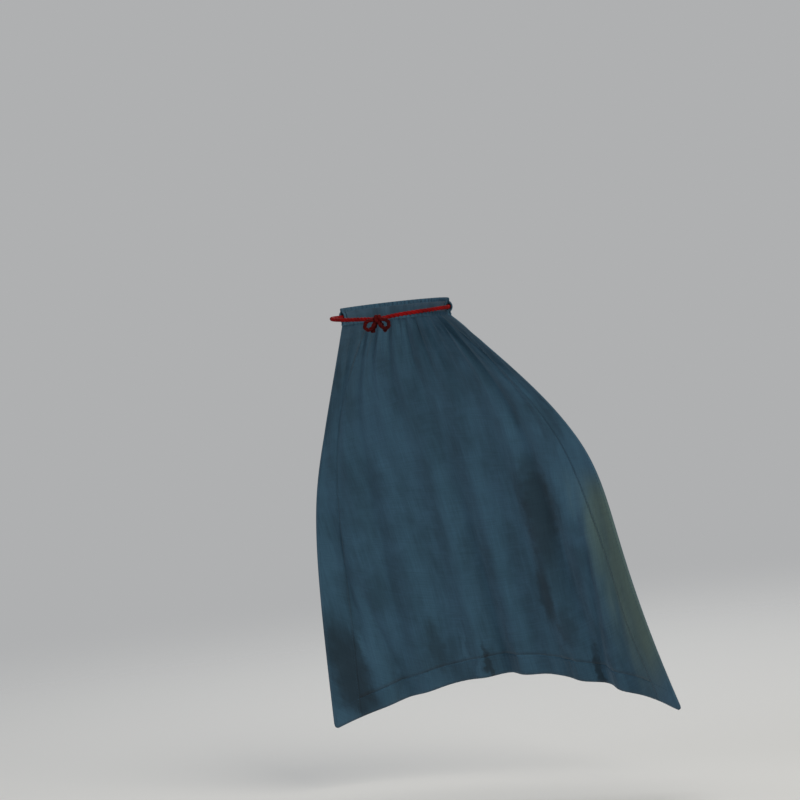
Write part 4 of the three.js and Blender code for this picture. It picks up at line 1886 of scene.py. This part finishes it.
@dataclass
class Bow:
    """The bow: a wrapped knot, two drooping loops in front and two short knotted tails behind."""

    finishes: Finishes
    centre: Triple = (8 * MM, -62 * MM, -5 * MM)
    cord: float = 5 * MM
    loop_thinning: float = 0.96  # the loops' diameter as a share of the cord's
    tail_thinning: float = 0.94  # and that of the knot and the tails
    knot_wraps: float = 1.62
    knot_radius: float = 3.1 * MM
    knot_width: float = 5.6 * MM
    knot_slant: float = 0.5 * MM
    loop_reach: float = 17.2 * MM
    loop_half_height: float = 4.9 * MM
    loop_droop: float = math.radians(31)
    loop_sag: float = 0.6 * MM
    loop_layer: float = -3 * MM
    tail_layer: float = 2.8 * MM
    tail_spread: float = math.radians(30)
    tail_reach: float = 15.5 * MM  # from the bow's centre to the stopper knot's
    stopper_cord: float = 3.1 * MM
    stopper_wraps: float = 1.85
    stopper_radius: float = 1.5 * MM
    stopper_width: float = 3.2 * MM

    def _direction(self, side: Side, angle: float) -> np.ndarray:
        """A direction in the bow's plane, at an angle below the horizontal."""
        return np.array([side.value * math.cos(angle), 0, -math.sin(angle)])

    def knot(self) -> bpy.types.Object:
        """Wraps the cord one and a half times round the crossing, with both ends tucked inside.

        Returns:
            The knot.
        """
        turns = np.linspace(0, 1, 22)
        angle = TURN * (self.knot_wraps * turns - 0.2)
        radius = self.knot_radius * np.clip(np.minimum(turns, 1 - turns) * 9, 0.25, 1)
        drift = (turns - 0.5) * self.knot_width + self.knot_slant * np.cos(angle)
        points = np.stack([drift, radius * np.cos(angle), radius * 1.05 * np.sin(angle)], -1)
        route = Route(points + np.array(self.centre))
        rope = Rope(diameter=self.cord * self.tail_thinning, pitch=13 * MM)
        return rope.build("bow_knot_wrap", route, self.finishes.bow)

    def loop(self, side: Side) -> bpy.types.Object:
        """Lays a loop of cord that leaves the knot, bulges and comes back.

        Args:
            side: the wearer's left or right.

        Returns:
            The loop.
        """
        out = self._direction(side, self.loop_droop)
        up = self._direction(side, self.loop_droop - math.pi / 2)
        reach, half = self.loop_reach, self.loop_half_height
        upper = [
            (0.06 * reach, 0.12 * half, -0.2), (0.3 * reach, 0.5 * half, 0.7),
            (0.48 * reach, 0.86 * half, 1.0), (0.67 * reach, 1.0 * half, 1.0),
            (0.86 * reach, 0.84 * half, 1.0), (0.97 * reach, 0.42 * half, 1.05),
        ]
        lower = [(along, -across, layer) for along, across, layer in reversed(upper)]
        line = []
        for along, across, layer in [*upper, (reach, 0.0, 1.1), *lower]:
            droop = np.array([0, self.loop_layer * layer, -self.loop_sag * (along / reach) ** 2])
            line.append(np.array(self.centre) + out * along + up * across + droop)
        rope = Rope(diameter=self.cord * self.loop_thinning)
        return rope.build(f"bow_loop_{side.name.lower()}_cord", Route(line), self.finishes.bow)

    def tail(self, side: Side) -> bpy.types.Object:
        """Lays a short tail that hangs behind the loop.

        Args:
            side: the wearer's left or right.

        Returns:
            The tail.
        """
        out = self._direction(side, math.pi / 2 - self.tail_spread)
        centre = np.array(self.centre)
        reach = np.array([0.8, 4.0, 7.5, 10.5, 13.0, 15.0]) * MM
        layer = np.array([0.2, 0.8, 1.0, 1.0, 1.0, 1.0]) * self.tail_layer
        route = Route(centre + out * reach[:, None] + np.array([0, 1, 0]) * layer[:, None])

        def thinned(distance: np.ndarray) -> np.ndarray:
            """Thins the end that lies inside the stopper knot."""
            return 1 - 0.6 * smooth_step(distance, route.length - 4 * MM, route.length)

        rope = Rope(diameter=self.cord * self.tail_thinning)
        return rope.build(f"bow_tail_{side.name.lower()}_cord", route, self.finishes.bow, thinned)

    def stopper(self, side: Side) -> bpy.types.Object:
        """Ties a stopper knot: the tail's end wrapped nearly twice round itself.

        Args:
            side: the wearer's left or right.

        Returns:
            The knot.
        """
        out = self._direction(side, math.pi / 2 - self.tail_spread)
        across = np.cross(out, [0, 1, 0])
        centre = np.array(self.centre) + out * self.tail_reach + np.array([0, self.tail_layer, 0])
        turns = np.linspace(0, 1, 18)
        angle = TURN * self.stopper_wraps * turns
        radius = self.stopper_radius * np.clip(np.minimum(turns, 1 - turns) * 8, 0.2, 1)
        drift = (turns - 0.5) * self.stopper_width
        line = centre + out * drift[:, None] + across * (radius * np.cos(angle))[:, None]
        line = line + np.array([0, 1, 0]) * (radius * np.sin(angle))[:, None]
        rope = Rope(diameter=self.stopper_cord, pitch=9 * MM)
        return rope.build(f"tail_knot_{side.name.lower()}_cord", Route(line), self.finishes.bow)

    def run(self, side: Side, points: np.ndarray) -> tuple[bpy.types.Object, Route]:
        """Lays a free run of the drawcord, from a mouth of the channel into the knot.

        Args:
            side: the wearer's left or right.
            points: what the run goes through.

        Returns:
            The run and its middle line.
        """
        route, rope = Route(points), Rope(diameter=self.cord)
        return rope.build(f"drawcord_{side.name.lower()}_run", route, self.finishes.cord), route

    def build(self) -> None:
        """Makes the runs, the knot, the loops and the tails, and says how they move."""
        knot = self.knot()
        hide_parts("bow_knot")
        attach(knot, Body.NECKLINE.value)
        on_cord = [knot]
        for side in Side:
            word = side.name.lower()
            moving = (
                (self.loop(side), f"bow_loop_{word}", f"{word}_loop"),
                (self.tail(side), f"bow_tail_{word}", f"{word}_tail"),
                (self.stopper(side), f"tail_knot_{word}", f"{word}_tail"),
            )
            for piece, node, body in moving:
                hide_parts(node)
                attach(piece, body)
                on_cord.append(piece)
        for piece in on_cord:
            log.info("%s: %d faces", piece.name, len(piece.data.polygons))
        for side, points in ((Side.LEFT, LEFT_RUN), (Side.RIGHT, RIGHT_RUN)):
            piece, route = self.run(side, points)
            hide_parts(f"drawcord_{side.name.lower()}")
            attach(piece, Body.NECKLINE.value)
            log.info("%s: %.0f mm long", piece.name, route.length / MM)


# ------------------------------------------------------------------ camera, light and floor


@dataclass(frozen=True)
class SoftLight:
    """A square soft light."""

    name: str
    place: Triple
    size: float
    power: float  # in watts
    colour: Triple


@dataclass(frozen=True)
class Studio:
    """A camera, soft light and a plain pale floor."""

    azimuth: float = math.radians(22)
    elevation: float = math.radians(2)
    roll: float = math.radians(6)
    distance: float = 4.2
    lens: float = 157.5
    aim_right: float = 0.012  # how far the neck lies left of the middle of the view
    aim_down: float = 0.1044  # how far the neck lies above the middle of the view
    floor_gap: float = 0.09
    floor_colour: Colour = (0.62, 0.62, 0.61, 1)
    floor_roughness: float = 0.9
    floor_fade: tuple[float, float] = (0.4, 3.4)  # where the floor starts to fade, and where it is gone
    air_colour: Colour = (0.78, 0.79, 0.8, 1)
    air_strength: float = 0.55
    lit_point: Triple = (0, 0.15, -0.3)
    lights: tuple[SoftLight, ...] = (
        SoftLight("key", (2.6, -2.2, 1.7), 1.8, 95, (1.0, 0.95, 0.86)),
        SoftLight("fill", (-2.6, -2.6, 0.8), 2.4, 26, (0.86, 0.92, 1.0)),
        SoftLight("back", (-0.6, 2.8, 1.6), 2.0, 40, (1.0, 1.0, 1.0)),
    )

    def camera(self) -> None:
        """Places the camera."""
        cos, sin = math.cos, math.sin
        level = cos(self.elevation)
        back = Vector((sin(self.azimuth) * level, -cos(self.azimuth) * level, sin(self.elevation)))
        right = Vector((cos(self.azimuth), sin(self.azimuth), 0))
        up = back.cross(right)
        across = right * cos(self.roll) - up * sin(self.roll)
        upward = right * sin(self.roll) + up * cos(self.roll)
        data = bpy.data.cameras.new("camera")
        data.lens = self.lens
        data.sensor_width = 36
        data.clip_end = 100
        camera = bpy.data.objects.new("camera", data)
        place = back * self.distance + across * self.aim_right - upward * self.aim_down
        camera.matrix_world = Matrix.Translation(place) @ Matrix((across, upward, back)).transposed().to_4x4()
        bpy.context.scene.collection.objects.link(camera)
        bpy.context.scene.camera = camera

    def light(self, light: SoftLight) -> None:
        """Adds a light that faces the cape.

        Args:
            light: what it is like.
        """
        data = bpy.data.lights.new(light.name, "AREA")
        data.size, data.energy, data.color = light.size, light.power, light.colour
        lamp = bpy.data.objects.new(light.name, data)
        lamp.location = light.place
        lamp.rotation_euler = (Vector(self.lit_point) - lamp.location).to_track_quat("-Z", "Y").to_euler()
        bpy.context.scene.collection.objects.link(lamp)

    def floor(self) -> None:
        """A wide pale floor below the cape."""
        bm = bmesh.new()
        place = Matrix.Translation((0, 0, cad_box[0].z - self.floor_gap))
        bmesh.ops.create_grid(bm, x_segments=1, y_segments=1, size=15, matrix=place)
        made = bpy.data.materials.new("pale_floor")
        made.use_nodes = True
        shader = Shader(made.node_tree)
        principled = made.node_tree.nodes["Principled BSDF"]
        principled.inputs["Base Color"].default_value = self.floor_colour
        principled.inputs["Roughness"].default_value = self.floor_roughness
        x, y, _ = shader.split(shader.node("ShaderNodeTexCoord").outputs["Object"])
        square = shader.math("ADD", shader.math("MULTIPLY", x, x), shader.math("MULTIPLY", y, y))
        fade = shader.remap(shader.math("SQRT", square), *self.floor_fade)
        mixed = shader.node("ShaderNodeMixShader")
        shader.feed(mixed.inputs[0], fade)
        shader.feed(mixed.inputs[1], principled.outputs[0])
        shader.feed(mixed.inputs[2], shader.node("ShaderNodeBsdfTransparent").outputs[0])
        shader.feed(made.node_tree.nodes["Material Output"].inputs["Surface"], mixed.outputs[0])
        new_piece("floor", bm, made)

    def world(self) -> None:
        """A pale, even surrounding."""
        world = bpy.data.worlds.new("studio")
        world.use_nodes = True
        background = world.node_tree.nodes["Background"]
        background.inputs["Color"].default_value = self.air_colour
        background.inputs["Strength"].default_value = self.air_strength
        bpy.context.scene.world = world
        bpy.context.scene.view_settings.view_transform = "Standard"

    def build(self) -> None:
        """Sets up the camera, the floor and the lights."""
        self.camera()
        self.world()
        self.floor()
        for light in self.lights:
            self.light(light)


# ------------------------------------------------------------------ whole scene


def main() -> None:
    """Builds the cape in order: camera and cords first, then the channel, the cloth and the seams."""
    logging.basicConfig(level=logging.INFO, format="%(name)s: %(message)s")
    Studio().build()
    finishes = Finishes()
    Bow(finishes).build()
    loop = NeckLoop()
    channel = NeckChannel(loop, finishes)
    channel.build()
    drape = Drape(CapeShape(loop))
    drape.settle(Settling().shift(drape))
    cloth = CapeCloth(drape, finishes)
    cloth.build()
    Seams(drape, channel, cloth, finishes).build()
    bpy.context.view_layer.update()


if __name__ == "__main__":
    main()
